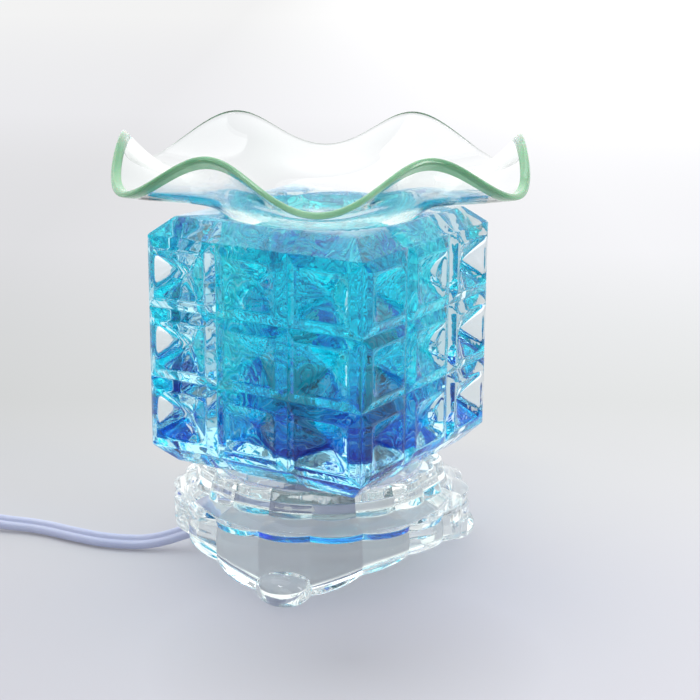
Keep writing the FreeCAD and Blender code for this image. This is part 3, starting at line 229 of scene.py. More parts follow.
@dataclass(frozen=True)
class LacquerFinish:
    """Transparent coloured lacquer on the inside of the glass, deeper in colour lower down, with
    swirl lines and painted glints between them.

    Args:
        name: Name of the material.
        low: Height in millimetres where the ramp starts.
        high: Height in millimetres where the ramp ends.
        stops: Place on the ramp and colour of the light that it scatters, from low to high.
        clear_stops: The same for the light that it passes.
        body: Share of the light that the lacquer scatters instead of passing.
        ior: Refractive index of the glass behind it.
        streak: Size in millimetres, detail and distortion of the uneven runs in it.
        runs: How far the runs reach up and down, as a share of the ramp.
        wave: Size, detail and distortion of the waves in the pressed surface behind it.
        wave_depth: Height of those waves in millimetres.
        swirl: Size, detail and distortion of the swirls that the mould left in it.
        swirl_lines: How many lines each swirl has.
        swirl_step: Height in millimetres from line to line where nothing swirls.
        swirl_rise: Height of the lines, as a share of the waves' height.
        thick: Colour factor that darkens the lacquer along a line.
        thick_band: Heights of the lines between which that factor fades out.
        glint: Pale colour of the painted glints between the lines.
        glint_band: Heights of the lines between which the painted glints come in.
        glint_share: How much of the painted glint colour shows there.
    """

    name: str
    low: float
    high: float
    stops: Stops
    clear_stops: Stops
    body: float = 0.08
    ior: float = 1.5
    streak: Point = (16.0, 3.0, 0.6)
    runs: float = 0.13
    wave: Point = (6.0, 1.5, 2.0)
    wave_depth: float = 0.4
    swirl: Point = (15.0, 0.5, 1.2)
    swirl_lines: float = 6.0
    swirl_step: float = 6.0
    swirl_rise: float = 0.2
    thick: str = "#B4D4DF"
    thick_band: tuple[float, float] = (-1.0, -0.6)
    # Painted glints between the swirl lines
    glint: str = "#C4F0FA"
    glint_band: tuple[float, float] = (0.9, 1.0)
    glint_share: float = 0.6

    def build(self) -> Material:
        """The finished material.

        Returns:
            The material.
        """
        material, tree, spot = new_material(self.name)
        rise = add_node(tree, "ShaderNodeSeparateXYZ", (spot,)).outputs[2]
        ends = (rise, self.low * MM, self.high * MM, 0.0, 1.0)
        height = add_node(tree, "ShaderNodeMapRange", ends)
        streaks = add_node(tree, "ShaderNodeTexNoise", patches(spot, *self.streak))
        ends = (streaks, *SOFT_BAND, -self.runs, self.runs)
        runs = add_node(tree, "ShaderNodeMapRange", ends)
        uneven = add_node(tree, "ShaderNodeMath", (height, runs), operation="ADD")
        lines = self.swirl_height(tree, spot, rise)
        colours = []
        for stops in (self.stops, self.clear_stops):
            plain = add_node(tree, "ShaderNodeValToRGB", (uneven,), stops)
            colours.append(self.swirled(tree, plain, lines))
        waves = add_node(tree, "ShaderNodeTexNoise", patches(spot, *self.wave))
        both = (lines, self.swirl_rise, waves)
        uneven = add_node(tree, "ShaderNodeMath", both, operation="MULTIPLY_ADD")
        normal = add_node(tree, "ShaderNodeBump", relief(uneven, self.wave_depth))
        glass = {"Color": colours[1], "Roughness": 0.0, "IOR": self.ior, "Normal": normal}
        clear = add_node(tree, "ShaderNodeBsdfGlass", glass)
        inputs = {"Color": colours[0], "Normal": normal}
        front = add_node(tree, "ShaderNodeBsdfDiffuse", inputs)
        back = add_node(tree, "ShaderNodeBsdfTranslucent", inputs)
        veil = add_node(tree, "ShaderNodeMixShader", (0.5, front, back))
        mixed = add_node(tree, "ShaderNodeMixShader", (self.body, clear, veil))
        shader = let_light_through(tree, mixed, colours[1])
        add_node(tree, "ShaderNodeOutputMaterial", {"Surface": shader})
        return material

    def swirl_height(self, tree: Tree, spot: Socket, rise: Socket) -> Node:
        """Height of the swirl lines, from -1 to 1.

        Args:
            tree: The node tree it goes in.
            spot: The place on the piece.
            rise: Its height.

        Returns:
            The node that gives the height.
        """
        curls = add_node(tree, "ShaderNodeTexNoise", patches(spot, *self.swirl))
        steps = (rise, 2 * math.pi / (self.swirl_step * MM))
        level = add_node(tree, "ShaderNodeMath", steps, operation="MULTIPLY")
        turns = (curls, 2 * math.pi * self.swirl_lines, level)
        phase = add_node(tree, "ShaderNodeMath", turns, operation="MULTIPLY_ADD")
        return add_node(tree, "ShaderNodeMath", (phase,), operation="SINE")

    def swirled(self, tree: Tree, colour: Node, lines: Node) -> Socket:
        """A colour made deeper along the swirl lines, with painted glints between some of them.

        Args:
            tree: The node tree it goes in.
            colour: The node that gives the colour.
            lines: Height of the lines, from -1 to 1.

        Returns:
            The new colour socket.
        """
        deep = add_node(tree, "ShaderNodeMapRange", (lines, *self.thick_band, 1.0, 0.0))
        # Painted glints: a pale colour mixed in near the tops of the lines
        ends = (lines, *self.glint_band, 0.0, self.glint_share)
        bright = add_node(tree, "ShaderNodeMapRange", ends)
        inputs = {0: deep, 6: colour, 7: srgb(self.thick)}
        settings = {"data_type": "RGBA", "blend_type": "MULTIPLY"}
        darker = add_node(tree, "ShaderNodeMix", inputs, **settings).outputs[2]
        inputs = {0: bright, 6: darker, 7: srgb(self.glint)}
        return add_node(tree, "ShaderNodeMix", inputs, data_type="RGBA").outputs[2]


@dataclass(frozen=True)
class RimFinish:
    """The dish's polished rim: painted green at the front for the light that the sheet leads to
    it, and painted paler towards the back.

    Args:
        name: Name of the material.
        front: Painted green of the front of the rim, for the light led to it.
        dark: Darker patches in the front colour.
        back: Painted pale colour of the rim towards the back, where it passes into plain glass.
        patch: Size of the patches in millimetres.
        half: Distance in millimetres from the middle to either end of that change.
        clear: Share of light that passes straight through.
        ior: Refractive index.
        roughness: Roughness of the fire polish.
        coat: Strength of the clear skin.
        soft: Share of light that goes in and comes out again.
        soft_reach: How far that light goes, in millimetres.
        grain: Size of the surface waves in millimetres.
        grain_depth: Height of the surface waves in millimetres.
    """

    name: str
    front: str = "#8FCE9E"
    dark: str = "#6DB482"
    back: str = "#F6FAF9"
    patch: float = 14.0
    half: float = 12.0
    clear: float = 0.25
    ior: float = 1.5
    roughness: float = 0.08
    coat: float = 0.6
    soft: float = 0.4
    soft_reach: float = 2.0
    grain: float = 3.0
    grain_depth: float = 0.03

    def build(self) -> Material:
        """The finished material.

        Returns:
            The material.
        """
        material, tree, spot = new_material(self.name)
        # Painted light: green at the front of the rim, painted paler towards the back
        deep = add_node(tree, "ShaderNodeSeparateXYZ", (spot,)).outputs[1]
        reach = self.half * MM
        share = add_node(tree, "ShaderNodeMapRange", (deep, -reach, reach, 0.0, 1.0))
        clouds = add_node(tree, "ShaderNodeTexNoise", patches(spot, self.patch))
        stops = tuple(zip(CLEAR_BAND, (self.front, self.dark)))
        green = add_node(tree, "ShaderNodeValToRGB", (clouds,), stops)
        inputs = {0: share, 6: green, 7: srgb(self.back)}
        mixed = add_node(tree, "ShaderNodeMix", inputs, data_type="RGBA").outputs[2]
        waves = add_node(tree, "ShaderNodeTexNoise", patches(spot, self.grain))
        inputs = {
            "Base Color": mixed,
            "Roughness": self.roughness,
            "IOR": self.ior,
            "Coat Weight": self.coat,
            "Subsurface Weight": self.soft,
            "Subsurface Scale": self.soft_reach * MM,
            "Transmission Weight": self.clear,
            "Normal": add_node(tree, "ShaderNodeBump", relief(waves, self.grain_depth)),
        }
        shader = add_node(tree, "ShaderNodeBsdfPrincipled", inputs)
        add_node(tree, "ShaderNodeOutputMaterial", {"Surface": shader})
        return material


@dataclass(frozen=True)
class SolidFinish:
    """Metal, plastic, rubber or ceramic with a fine grain and uneven shine.

    Args:
        name: Name of the material.
        colour: Main colour.
        patch: Colour of the slow patches in it.
        patch_size: Size of the patches in millimetres.
        metallic: 1 for bare metal.
        roughness: Middle of the roughness range.
        spread: How far the roughness moves to each side.
        grain: Size of the surface grain in millimetres.
        grain_depth: Depth of the surface grain in millimetres.
        coat: Strength of a clear glaze.
        soft: Share of light that goes in and comes out again.
        soft_reach: How far that light goes, in millimetres.
        soft_colours: Share of that reach for red, green and blue.
        clear: Share of light that passes through.
        patch_detail: How many finer patches lie in the slow ones.
    """

    name: str
    colour: str
    patch: str
    patch_size: float = 12.0
    metallic: float = 0.0
    roughness: float = 0.4
    spread: float = 0.06
    grain: float = 0.8
    grain_depth: float = 0.01
    coat: float = 0.0
    soft: float = 0.0
    soft_reach: float = 1.0
    soft_colours: Point = (1.0, 0.9, 0.9)
    clear: float = 0.0
    patch_detail: float = 3.0

    def build(self) -> Material:
        """The finished material.

        Returns:
            The material.
        """
        material, tree, spot = new_material(self.name)
        inputs = patches(spot, self.patch_size, self.patch_detail)
        clouds = add_node(tree, "ShaderNodeTexNoise", inputs)
        shine = (self.roughness - self.spread, self.roughness + self.spread)
        stops = tuple(zip(CLEAR_BAND, (self.colour, self.patch)))
        bite = add_node(tree, "ShaderNodeTexNoise", patches(spot, self.grain))
        inputs = {
            "Base Color": add_node(tree, "ShaderNodeValToRGB", (clouds,), stops),
            "Metallic": self.metallic,
            "Roughness": add_node(tree, "ShaderNodeMapRange", (clouds, *SOFT_BAND, *shine)),
            "Coat Weight": self.coat,
            "Subsurface Weight": self.soft,
            "Subsurface Scale": self.soft_reach * MM,
            "Subsurface Radius": self.soft_colours,
            "Transmission Weight": self.clear,
            "Normal": add_node(tree, "ShaderNodeBump", relief(bite, self.grain_depth)),
        }
        shader = add_node(tree, "ShaderNodeBsdfPrincipled", inputs)
        add_node(tree, "ShaderNodeOutputMaterial", {"Surface": shader})
        return material


@dataclass(frozen=True)
class Finishes:
    """Every finish of the warmer."""

    # Thin bent window glass: nearly colourless from the front, bottle green at the edge
    dish: GlassFinish = GlassFinish(
        "dish_glass", "#FFFFFF", "#FBFFFD", ripple=22.0, ripple_depth=0.05,
        depth_tint="#9FDCB4", depth_density=3.0,
    )
    # The fire polished rim, painted bottle green at the front for the light led along inside the
    # sheet, and painted paler at the back
    rim: RimFinish = RimFinish("dish_rim")
    # Pressed crystal glass, fire polished: clear, with soft mould waves in every facet
    block: GlassFinish = GlassFinish(
        "block_glass", "#FFFFFF", "#FAFDFF", ripple=8.0, ripple_depth=0.2, swirl=1.5,
        depth_tint="#50E6FA", depth_density=8.5,
    )
    # The same pressed glass without lacquer: colourless, faintly cool in thick places
    base: GlassFinish = GlassFinish(
        "base_glass", "#F8FDFB", "#F4FBF9", ripple=7.0, ripple_depth=0.05,
    )
    # Transparent lacquer sprayed into the cavity: turquoise at the rim, ultramarine at the floor,
    # with painted glints between its swirl lines
    lacquer: LacquerFinish = LacquerFinish(
        "cavity_lacquer", 42.0, 118.0,
        (
            (0.0, "#0A4CAC"), (0.05, "#0C60BC"), (0.16, "#0EA8E0"), (0.32, "#14D8F0"),
            (1.0, "#1CECF4"),
        ),
        (
            (0.0, "#1474D8"), (0.05, "#1890E4"), (0.16, "#22C6F4"), (0.32, "#2CEEFA"),
            (1.0, "#40F8FC"),
        ),
    )
    # Clear silicone ring: soft, slightly milky
    gasket: SolidFinish = SolidFinish(
        "gasket_silicone", "#EEF0F4", "#E4E8EE", roughness=0.35, grain=1.5, soft=0.3, clear=0.5,
    )
    # White silicone washers, matt from the mould
    washer: SolidFinish = SolidFinish(
        "washer_silicone", "#E6E6E2", "#D9DAD6", roughness=0.6, soft=0.2,
    )
    # Bright zinc plated steel: cool grey with a faint cloudy passivation
    zinc: SolidFinish = SolidFinish(
        "zinc_steel", "#C9CCD1", "#B9BEC6", 5.0, 1.0, 0.28, 0.08, grain=0.5, grain_depth=0.006,
    )
    # Moulded soft PVC outlet in the lead's own colour
    outlet: SolidFinish = SolidFinish(
        "outlet_pvc", "#D7DAEC", "#CDD1E6", roughness=0.42, soft=0.25, soft_reach=1.5,
    )
    # Extruded PVC lead: pale lavender white, a little translucent, soft shine along its length
    lead: SolidFinish = SolidFinish(
        "lead_pvc", "#C9CEE6", "#C1C7E2", 30.0, roughness=0.33, spread=0.05, grain=1.2,
        grain_depth=0.006, coat=0.15, soft=0.35, soft_reach=1.6,
    )
    # Steatite lamp holder: cream white ceramic, matt with a fine bite
    ceramic: SolidFinish = SolidFinish(
        "holder_ceramic", "#E9E4D6", "#DDD6C4", 6.0, roughness=0.5, grain=0.6,
        grain_depth=0.02, soft=0.1,
    )
    # Stamped brass spring leaves: warm yellow, half bright
    brass: SolidFinish = SolidFinish(
        "contact_brass", "#D8B468", "#C79F55", 3.0, 1.0, 0.3, 0.08, grain=0.4,
    )
    # Nickel plated brass of the plug's blades: warm grey and bright
    blade: SolidFinish = SolidFinish(
        "blade_nickel", "#D9D4C8", "#CFC8B8", 6.0, 1.0, 0.22, 0.06, grain=0.5,
    )
    # Clear fused quartz, flame worked, with slow waves
    quartz: GlassFinish = GlassFinish(
        "lamp_quartz", "#FFFFFF", "#F6FAFF", ior=1.46, ripple=4.0, ripple_depth=0.02,
    )
    # Bare molybdenum and tungsten wire: dull grey metal
    wire: SolidFinish = SolidFinish(
        "lamp_wire", "#8F9298", "#7C7F86", 1.5, 1.0, 0.35, 0.08, grain=0.3,
    )
    # Silicone insulation of the two cores, off white
    core: SolidFinish = SolidFinish("core_pvc", "#E8E5DC", "#DCD8CC", roughness=0.5, soft=0.15)
    # White nylon strap, slightly see-through, satin
    tie: SolidFinish = SolidFinish("tie_nylon", "#E9EBEE", "#DEE1E6", roughness=0.45, soft=0.3)
    # Injection moulded ABS case with a fine spark texture
    case: SolidFinish = SolidFinish(
        "dimmer_abs", "#E4E6EF", "#DADDE9", 25.0, roughness=0.48, grain=0.5,
        grain_depth=0.015, soft=0.08,
    )
    # The thumb wheel: a darker grey, slightly glossier plastic
    wheel: SolidFinish = SolidFinish(
        "wheel_abs", "#8E93A6", "#828799", 10.0, roughness=0.36, grain=0.6,
    )
    # Phenolic paper board: brown, fibrous
    board: SolidFinish = SolidFinish(
        "board_laminate", "#A9743C", "#946232", 2.0, roughness=0.5, grain=0.4,
    )
    # Epoxy coated parts: dark, with a waxy shine
    epoxy: SolidFinish = SolidFinish(
        "component_epoxy", "#33363C", "#282A30", 3.0, roughness=0.4, grain=0.5,
    )
    # Cream nylon screw terminals, satin
    terminal: SolidFinish = SolidFinish(
        "terminal_nylon", "#DAD9C8", "#CCCBB8", 5.0, roughness=0.5, soft=0.1,
    )
    # Soft PVC plug moulded onto the lead, with a fine leather grain
    plug: SolidFinish = SolidFinish(
        "plug_pvc", "#D7DBEE", "#CED3E9", 20.0, roughness=0.45, grain=0.7, grain_depth=0.02,
        soft=0.2,
    )


@dataclass(frozen=True)
class SharpEdges:
    """Angles in degrees past which the edges of each kind of piece stay sharp."""

    smooth_glass: float = 60.0
    base: float = 38.0
    thread: float = 25.0
    clamp: float = 28.0
    holder: float = 32.0
    moulded: float = 30.0
    lead: float = 55.0
    plug: float = 50.0
    rounded: float = 40.0


SHARP = SharpEdges()


class Palette:
    """Builds each finish once and hands its material out."""

    def __init__(self, finishes: Finishes) -> None:
        """Keeps the finishes; nothing is built yet."""
        self.finishes = finishes
        self.built: dict[str, Material] = {}

    def get(self, key: str) -> Material:
        """The material of one finish, by its field name in Finishes.

        Args:
            key: The field name.

        Returns:
            The material.
        """
        if key not in self.built:
            self.built[key] = getattr(self.finishes, key).build()
        return self.built[key]


def add_object(name: str, data: bpy.types.ID) -> Piece:
    """A new object in the scene that shows the given data.

    Args:
        name: Name of the object.
        data: Its mesh, curve, camera or light.

    Returns:
        The object.
    """
    obj = bpy.data.objects.new(name, data)
    bpy.context.scene.collection.objects.link(obj)
    return obj


def mesh_piece(name: str, points: np.ndarray, faces: Iterable[Sequence[int]]) -> Piece:
    """Makes a piece of mesh from points in millimetres.

    Args:
        name: Name of the piece.
        points: One row of x, y and z per point.
        faces: Point numbers of each face.

    Returns:
        The object, at the origin.
    """
    mesh = bpy.data.meshes.new(name)
    places = (np.asarray(points, dtype=float) * MM).tolist()
    mesh.from_pydata(places, [], [tuple(f) for f in faces])
    return add_object(name, mesh)


def curve_mesh(kind: str, points: np.ndarray, **settings: object) -> bpy.types.Mesh:
    """Makes the mesh of a curve.

    Args:
        kind: POLY for straight runs, or NURBS for a spline of second degree.
        points: Its control points in millimetres.
        **settings: Properties of the curve.

    Returns:
        The mesh.
    """
    data = bpy.data.curves.new("route", "CURVE")
    data.dimensions = "3D"
    for key, value in settings.items():
        setattr(data, key, value)
    spline = data.splines.new(kind)
    spline.points.add(len(points) - 1)
    for point, spot in zip(spline.points, points * MM):
        point.co = (*spot, 1.0)
    if kind == "NURBS":
        spline.order_u = 3
        spline.use_endpoint_u = True
        spline.resolution_u = data.resolution_u
    helper = add_object("route", data)
    depsgraph = bpy.context.evaluated_depsgraph_get()
    mesh = bpy.data.meshes.new_from_object(helper.evaluated_get(depsgraph))
    bpy.data.objects.remove(helper)
    return mesh


def clean(obj: Piece, merge: float = 0.002, flat: float = 0.0001) -> None:
    """Joins points closer than merge, drops edges under flat and turns all faces outward.

    Args:
        obj: The piece.
        merge: Points closer than this many millimetres become one.
        flat: Edges shorter than this many millimetres go.
    """
    work = bmesh.new()
    work.from_mesh(obj.data)
    bmesh.ops.remove_doubles(work, verts=work.verts, dist=merge * MM)
    bmesh.ops.dissolve_degenerate(work, edges=work.edges, dist=flat * MM)
    bmesh.ops.recalc_face_normals(work, faces=work.faces)
    work.to_mesh(obj.data)
    work.free()


def place(
    obj: Piece,
    body: Body,
    nodes: Sequence[str],
    angle: float,
    material: Optional[Material] = None,
) -> Piece:
    """Gives a finished piece its look and hands it to the frame.

    Args:
        obj: The piece, at rest.
        body: The CAD body it moves with.
        nodes: CAD nodes it stands for.
        angle: Edges sharper than this many degrees are shaded sharp.
        material: Its material, or nothing where its faces have theirs.

    Returns:
        The same piece.
    """
    if material:
        obj.data.materials.clear()
        obj.data.materials.append(material)
    obj.data.shade_smooth()
    obj.data.set_sharp_from_angle(angle=math.radians(angle))
    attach(obj, body.value)
    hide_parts(*nodes)
    count = len(obj.data.polygons)
    LOG.info("%s: %d faces, rides %s, stands for %s", obj.name, count, body.value, list(nodes))
    return obj


def grid_faces(rows: int, columns: int, closed_rows: bool, closed_columns: bool) -> list:
    """Quads of a grid whose point number is row times columns plus column.

    Args:
        rows: Number of rows.
        columns: Number of columns.
        closed_rows: Whether the last row joins the first.
        closed_columns: Whether the last column joins the first.

    Returns:
        The point numbers of each quad, row by row.
    """
    faces = []
    for r in range(rows if closed_rows else rows - 1):
        for c in range(columns if closed_columns else columns - 1):
            up = (r + 1) % rows
            on = (c + 1) % columns
            faces.append((r * columns + c, up * columns + c, up * columns + on, r * columns + on))
    return faces


def fillet(
    profile: Sequence[tuple],
    radii: Sequence[float],
    steps: int = 4,
    margin: float = 0.3,
    reach: float = 0.42,
    support: float = 0.48,
) -> np.ndarray:
    """Rounds the corners of an open line and adds support points on its long runs.

    Args:
        profile: Points of any length; the first two numbers are the plane's.
        radii: Rounding of each inner corner.
        steps: Runs that each rounding is made of.
        margin: How far from a rounding its support point lies.
        reach: The largest share of a run that one rounding takes.
        support: The same with its support point.

    Returns:
        The new points.
    """
    points = [np.array(p, dtype=float) for p in profile]
    out = [points[0]]
    for k in range(1, len(points) - 1):
        runs = [points[k - 1] - points[k], points[k + 1] - points[k]]
        sizes = [np.linalg.norm(run[:2]) for run in runs]
        cosine = np.dot(runs[0][:2], runs[1][:2]) / (sizes[0] * sizes[1])
        half = math.acos(max(-1.0, min(1.0, cosine))) / 2
        cut = min(radii[k - 1] / math.tan(half), sizes[0] * reach, sizes[1] * reach)
        start, end = [points[k] + run * (cut / size) for run, size in zip(runs, sizes)]
        before, after = [
            points[k] + run * min((cut + margin) / size, support) for run, size in zip(runs, sizes)
        ]
        out.append(before)
        for t in np.linspace(0.0, 1.0, steps + 1):
            out.append(start * (1 - t) ** 2 + points[k] * (2 * t * (1 - t)) + end * t * t)
        out.append(after)
    out.append(points[-1])
    return np.array(out)


def lathe(name: str, profile: np.ndarray, columns: int, closed: bool = True) -> Piece:
    """Turns a profile of radius and height round the upright axis.

    Args:
        name: Name of the piece.
        profile: Radius and height of each point, in millimetres; more columns are left out.
        columns: Number of columns all round.
        closed: Whether the last point joins the first.

    Returns:
        The piece.
    """
    angles = np.arange(columns) * (2 * math.pi / columns)
    rows = len(profile)
    points = np.zeros((rows, columns, 3))
    points[:, :, 0] = profile[:, 0:1] * np.cos(angles)
    points[:, :, 1] = profile[:, 0:1] * np.sin(angles)
    points[:, :, 2] = profile[:, 1:2]
    obj = mesh_piece(name, points.reshape(-1, 3), grid_faces(rows, columns, closed, True))
    clean(obj)
    return obj


def skin(name: str, rings: Sequence[np.ndarray]) -> Piece:
    """A closed piece over rings of points, with a flat face at either end.

    Args:
        name: Name of the piece.
        rings: Points of each ring in millimetres.

    Returns:
        The piece.
    """
    columns = len(rings[0])
    faces = grid_faces(len(rings), columns, False, True)
    last = (len(rings) - 1) * columns
    faces.append(tuple(range(columns)))
    faces.append(tuple(range(last, last + columns)))
    obj = mesh_piece(name, np.concatenate(rings), faces)
    clean(obj)
    return obj


def node_copy(
    node: str, edge: float, angle: float, merge: float = 0.002, flat: float = 0.5
) -> Piece:
    """A merged copy of a CAD node, with softened edges where asked.

    Args:
        node: The CAD node's name.
        edge: Width of the softened edges in millimetres, or 0.
        angle: Edges sharper than this many degrees are softened.
        merge: Points closer than this many millimetres become one.
        flat: Faces that meet within this many degrees become one before the softening.

    Returns:
        The piece, in the row frame.
    """
    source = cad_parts[node]
    turn = source.matrix_world
    points = [tuple(turn @ v.co) for v in source.data.vertices]
    name = node + "_soft"
    mesh = bpy.data.meshes.new(name)
    mesh.from_pydata(points, [], [tuple(p.vertices) for p in source.data.polygons])
    work = bmesh.new()
    work.from_mesh(mesh)
    bmesh.ops.remove_doubles(work, verts=work.verts, dist=merge * MM)
    bmesh.ops.recalc_face_normals(work, faces=work.faces)
    if edge:
        bmesh.ops.dissolve_limit(
            work, angle_limit=math.radians(flat), verts=work.verts, edges=work.edges,
            delimit={"NORMAL"},
        )
        limit = math.radians(angle)
        inner = [e for e in work.edges if len(e.link_faces) == 2]
        sharp = [e for e in inner if e.calc_face_angle(0.0) > limit]
        bmesh.ops.bevel(
            work, geom=sharp, offset=edge * MM, segments=2, profile=0.5, affect="EDGES",
            clamp_overlap=True,
        )
        bmesh.ops.triangulate(work, faces=[f for f in work.faces if len(f.verts) > 4])
    work.to_mesh(mesh)
    work.free()
    return add_object(name, mesh)


def copy_nodes(rows: Iterable[tuple], palette: Palette, angle: float) -> list[Piece]:
    """Copies CAD nodes and hands the copies over.

    Args:
        rows: Node, finish, material slot, width of its softened edges and body of each.
        palette: The materials.
        angle: Edges sharper than this many degrees stay sharp or are softened.

    Returns:
        The new pieces.
    """
    made = []
    for node, finish, slot, edge, body in rows:
        obj = node_copy(node, edge, angle)
        made.append(place(obj, body, [node], angle, palette.get(finish)))
    return made


class RuleTree:
    """A geometry node tree with named inputs that ends in Realize Instances and Set Material."""

    def __init__(self, name: str) -> None:
        """Starts a tree with one geometry input and output.

        Args:
            name: Name of the rule.
        """
        self.tree = bpy.data.node_groups.new(name, "GeometryNodeTree")
        for way in ("INPUT", "OUTPUT"):
            self.tree.interface.new_socket(
                "Geometry", in_out=way, socket_type="NodeSocketGeometry"
            )
        self.keys: dict[str, str] = {}
        self.start = self.tree.nodes.new("NodeGroupInput")
        self.end = self.tree.nodes.new("NodeGroupOutput")

    def add_input(self, name: str, kind: str) -> Socket:
        """A named input of the rule, as the socket that carries it.

        Args:
            name: Name of the input.
            kind: Type name of its socket.

        Returns:
            The socket that carries it.
        """
        item = self.tree.interface.new_socket(name, in_out="INPUT", socket_type=kind)
        self.keys[name] = item.identifier
        return self.start.outputs[name]

    def node(self, kind: str, inputs: Union[dict, Sequence] = (), **settings: object) -> Node:
        """Adds a node to the rule, as add_node does."""
        return add_node(self.tree, kind, inputs, **settings)

    def mark(self, name: str, kind: str) -> Socket:
        """The values stored on the piece under a name, FLOAT or BOOLEAN."""
        node = self.node("GeometryNodeInputNamedAttribute", {"Name": name}, data_type=kind)
        return next(socket for socket in node.outputs if socket.enabled)

    def close(self, geometry: Node, mark: str) -> None:
        """Makes the result real, gives it its two materials and ends the rule.

        Args:
            geometry: The node that gives the finished geometry.
            mark: Name of the mark on the faces that take the second material.
        """
        plain, marked = [
            self.add_input(name, "NodeSocketMaterial") for name in ("Material", "Marked material")
        ]
        real = self.node("GeometryNodeRealizeInstances", (geometry,))
        clear = self.node("GeometryNodeSetMaterial", {"Geometry": real, "Material": plain})
        inputs = {"Geometry": clear, "Selection": self.mark(mark, "BOOLEAN"), "Material": marked}
        done = self.node("GeometryNodeSetMaterial", inputs)
        self.tree.links.new(done.outputs[0], self.end.inputs[0])

    def apply(self, obj: Piece, values: dict) -> None:
        """Runs the rule on a piece once and keeps the resulting mesh.

        Args:
            obj: The piece the rule starts from.
            values: Input name to value.
        """
        modifier = obj.modifiers.new("rule", "NODES")
        modifier.node_group = self.tree
        for name, value in values.items():
            modifier[self.keys[name]] = value
        bake(obj)


def bake(obj: Piece) -> None:
    """Keeps what a piece's modifiers make of it, and removes them.

    Args:
        obj: The piece.
    """
    depsgraph = bpy.context.evaluated_depsgraph_get()
    made = bpy.data.meshes.new_from_object(obj.evaluated_get(depsgraph))
    obj.modifiers.clear()
    old = obj.data
    obj.data = made
    bpy.data.meshes.remove(old)
    made.name = obj.name


def turn_copies_rule() -> RuleTree:
    """Copies a sector round the upright axis and welds the seams.

    Returns:
        The rule; faces marked lining take the marked material.
    """
    rule = RuleTree("turn_copies")
    count = rule.add_input("Copies", "NodeSocketInt")
    weld = rule.add_input("Weld distance", "NodeSocketFloat")
    pitch = rule.node("ShaderNodeMath", (2 * math.pi, count), operation="DIVIDE")
    index = rule.node("GeometryNodeInputIndex")
    angle = rule.node("ShaderNodeMath", (index, pitch), operation="MULTIPLY")
    turn = rule.node("ShaderNodeCombineXYZ", {2: angle})
    inputs = {
        "Points": rule.node("GeometryNodePoints", {"Count": count}),
        "Instance": rule.start.outputs["Geometry"],
        "Rotation": rule.node("FunctionNodeEulerToRotation", (turn,)),
    }
    copies = rule.node("GeometryNodeInstanceOnPoints", inputs)
    real = rule.node("GeometryNodeRealizeInstances", (copies,))
    inputs = {"Geometry": real, "Distance": weld}
    rule.close(rule.node("GeometryNodeMergeByDistance", inputs), "lining")
    return rule


def wave_rule() -> RuleTree:
    """Lifts and pulls in a round sheet in even waves, as far as its wave and pull shares say.

    Returns:
        The rule; faces marked rim take the marked material.
    """
    rule = RuleTree("rim_waves")
    waves = rule.add_input("Waves", "NodeSocketInt")
    sizes = [rule.add_input(name, "NodeSocketFloat") for name in ("Wave height", "Pull in")]
    spot = rule.node("GeometryNodeInputPosition")
    xyz = rule.node("ShaderNodeSeparateXYZ", (spot,)).outputs
    angle = rule.node("ShaderNodeMath", (xyz[1], xyz[0]), operation="ARCTAN2")
    turned = rule.node("ShaderNodeMath", (angle, waves), operation="MULTIPLY")
    phase = rule.node("ShaderNodeMath", (turned,), operation="COSINE")
    moves = []
    for size, name in zip(sizes, ("wave_share", "pull_share")):
        full = rule.node("ShaderNodeMath", (phase, size), operation="MULTIPLY")
        inputs = (full, rule.mark(name, "FLOAT"))
        moves.append(rule.node("ShaderNodeMath", inputs, operation="MULTIPLY"))
    level = rule.node("ShaderNodeVectorMath", (spot, (1.0, 1.0, 0.0)), operation="MULTIPLY")
    outward = rule.node("ShaderNodeVectorMath", (level,), operation="NORMALIZE")
    pulled = {0: outward, "Scale": moves[1]}
    pull = rule.node("ShaderNodeVectorMath", pulled, operation="SCALE")
    lift = rule.node("ShaderNodeCombineXYZ", {2: moves[0]})
    move = rule.node("ShaderNodeVectorMath", (lift, pull), operation="SUBTRACT")
    inputs = {"Geometry": rule.start.outputs["Geometry"], "Offset": move}
    rule.close(rule.node("GeometryNodeSetPosition", inputs), "rim")
    return rule


@dataclass(frozen=True)
class DishSizes:
    """Sizes of the wavy dish, in millimetres, from its mid surface."""

    waves: int = 6
    wave_height: float = 6.8
    pull_in: float = 2.8
    rim_glass: float = 2.2
    rim_from: float = 64.3
    rim_back: float = 12.0
    columns: int = 216
    rows: int = 132
    # Radius, height, glass, wave height and pull of each station from middle to rim
    stations: tuple[tuple[float, float, float, float, float], ...] = (
        (5.0, 113.1, 2.2, 0.0, 0.0),
        (18.0, 113.1, 2.2, 0.0, 0.0),
        (25.3, 113.7, 3.4, 0.0, 0.0),
        (30.3, 118.1, 2.6, 0.0, 0.0),
        (36.3, 122.0, 2.2, 0.0, 0.0),
        (44.2, 125.6, 2.2, 0.8, 0.0),
        (55.2, 129.2, 2.2, 3.2, 0.0),
        (66.2, 135.1, 2.2, 6.8, 2.8),
    )


def b_spline(controls: np.ndarray, count: int) -> np.ndarray:
    """Points on a clamped cubic B-spline with even knots.

    Args:
        controls: Control points, one per row, of any width.
        count: Number of points wanted.

    Returns:
        The points from end to end.
    """
    degree = 3
    spans = len(controls) - degree
    knots = [0.0] * degree + [float(k) for k in range(spans + 1)] + [float(spans)] * degree
    out = []
    for u in np.linspace(0.0, spans, count):
        k = min(int(u), spans - 1) + degree
        work = [controls[j].astype(float) for j in range(k - degree, k + 1)]
        for level in range(1, degree + 1):
            for j in range(degree, level - 1, -1):
                low = knots[j + k - degree]
                share = (u - low) / (knots[j + 1 + k - level] - low)
                work[j] = (1 - share) * work[j - 1] + share * work[j]
        out.append(work[degree])
    return np.array(out)


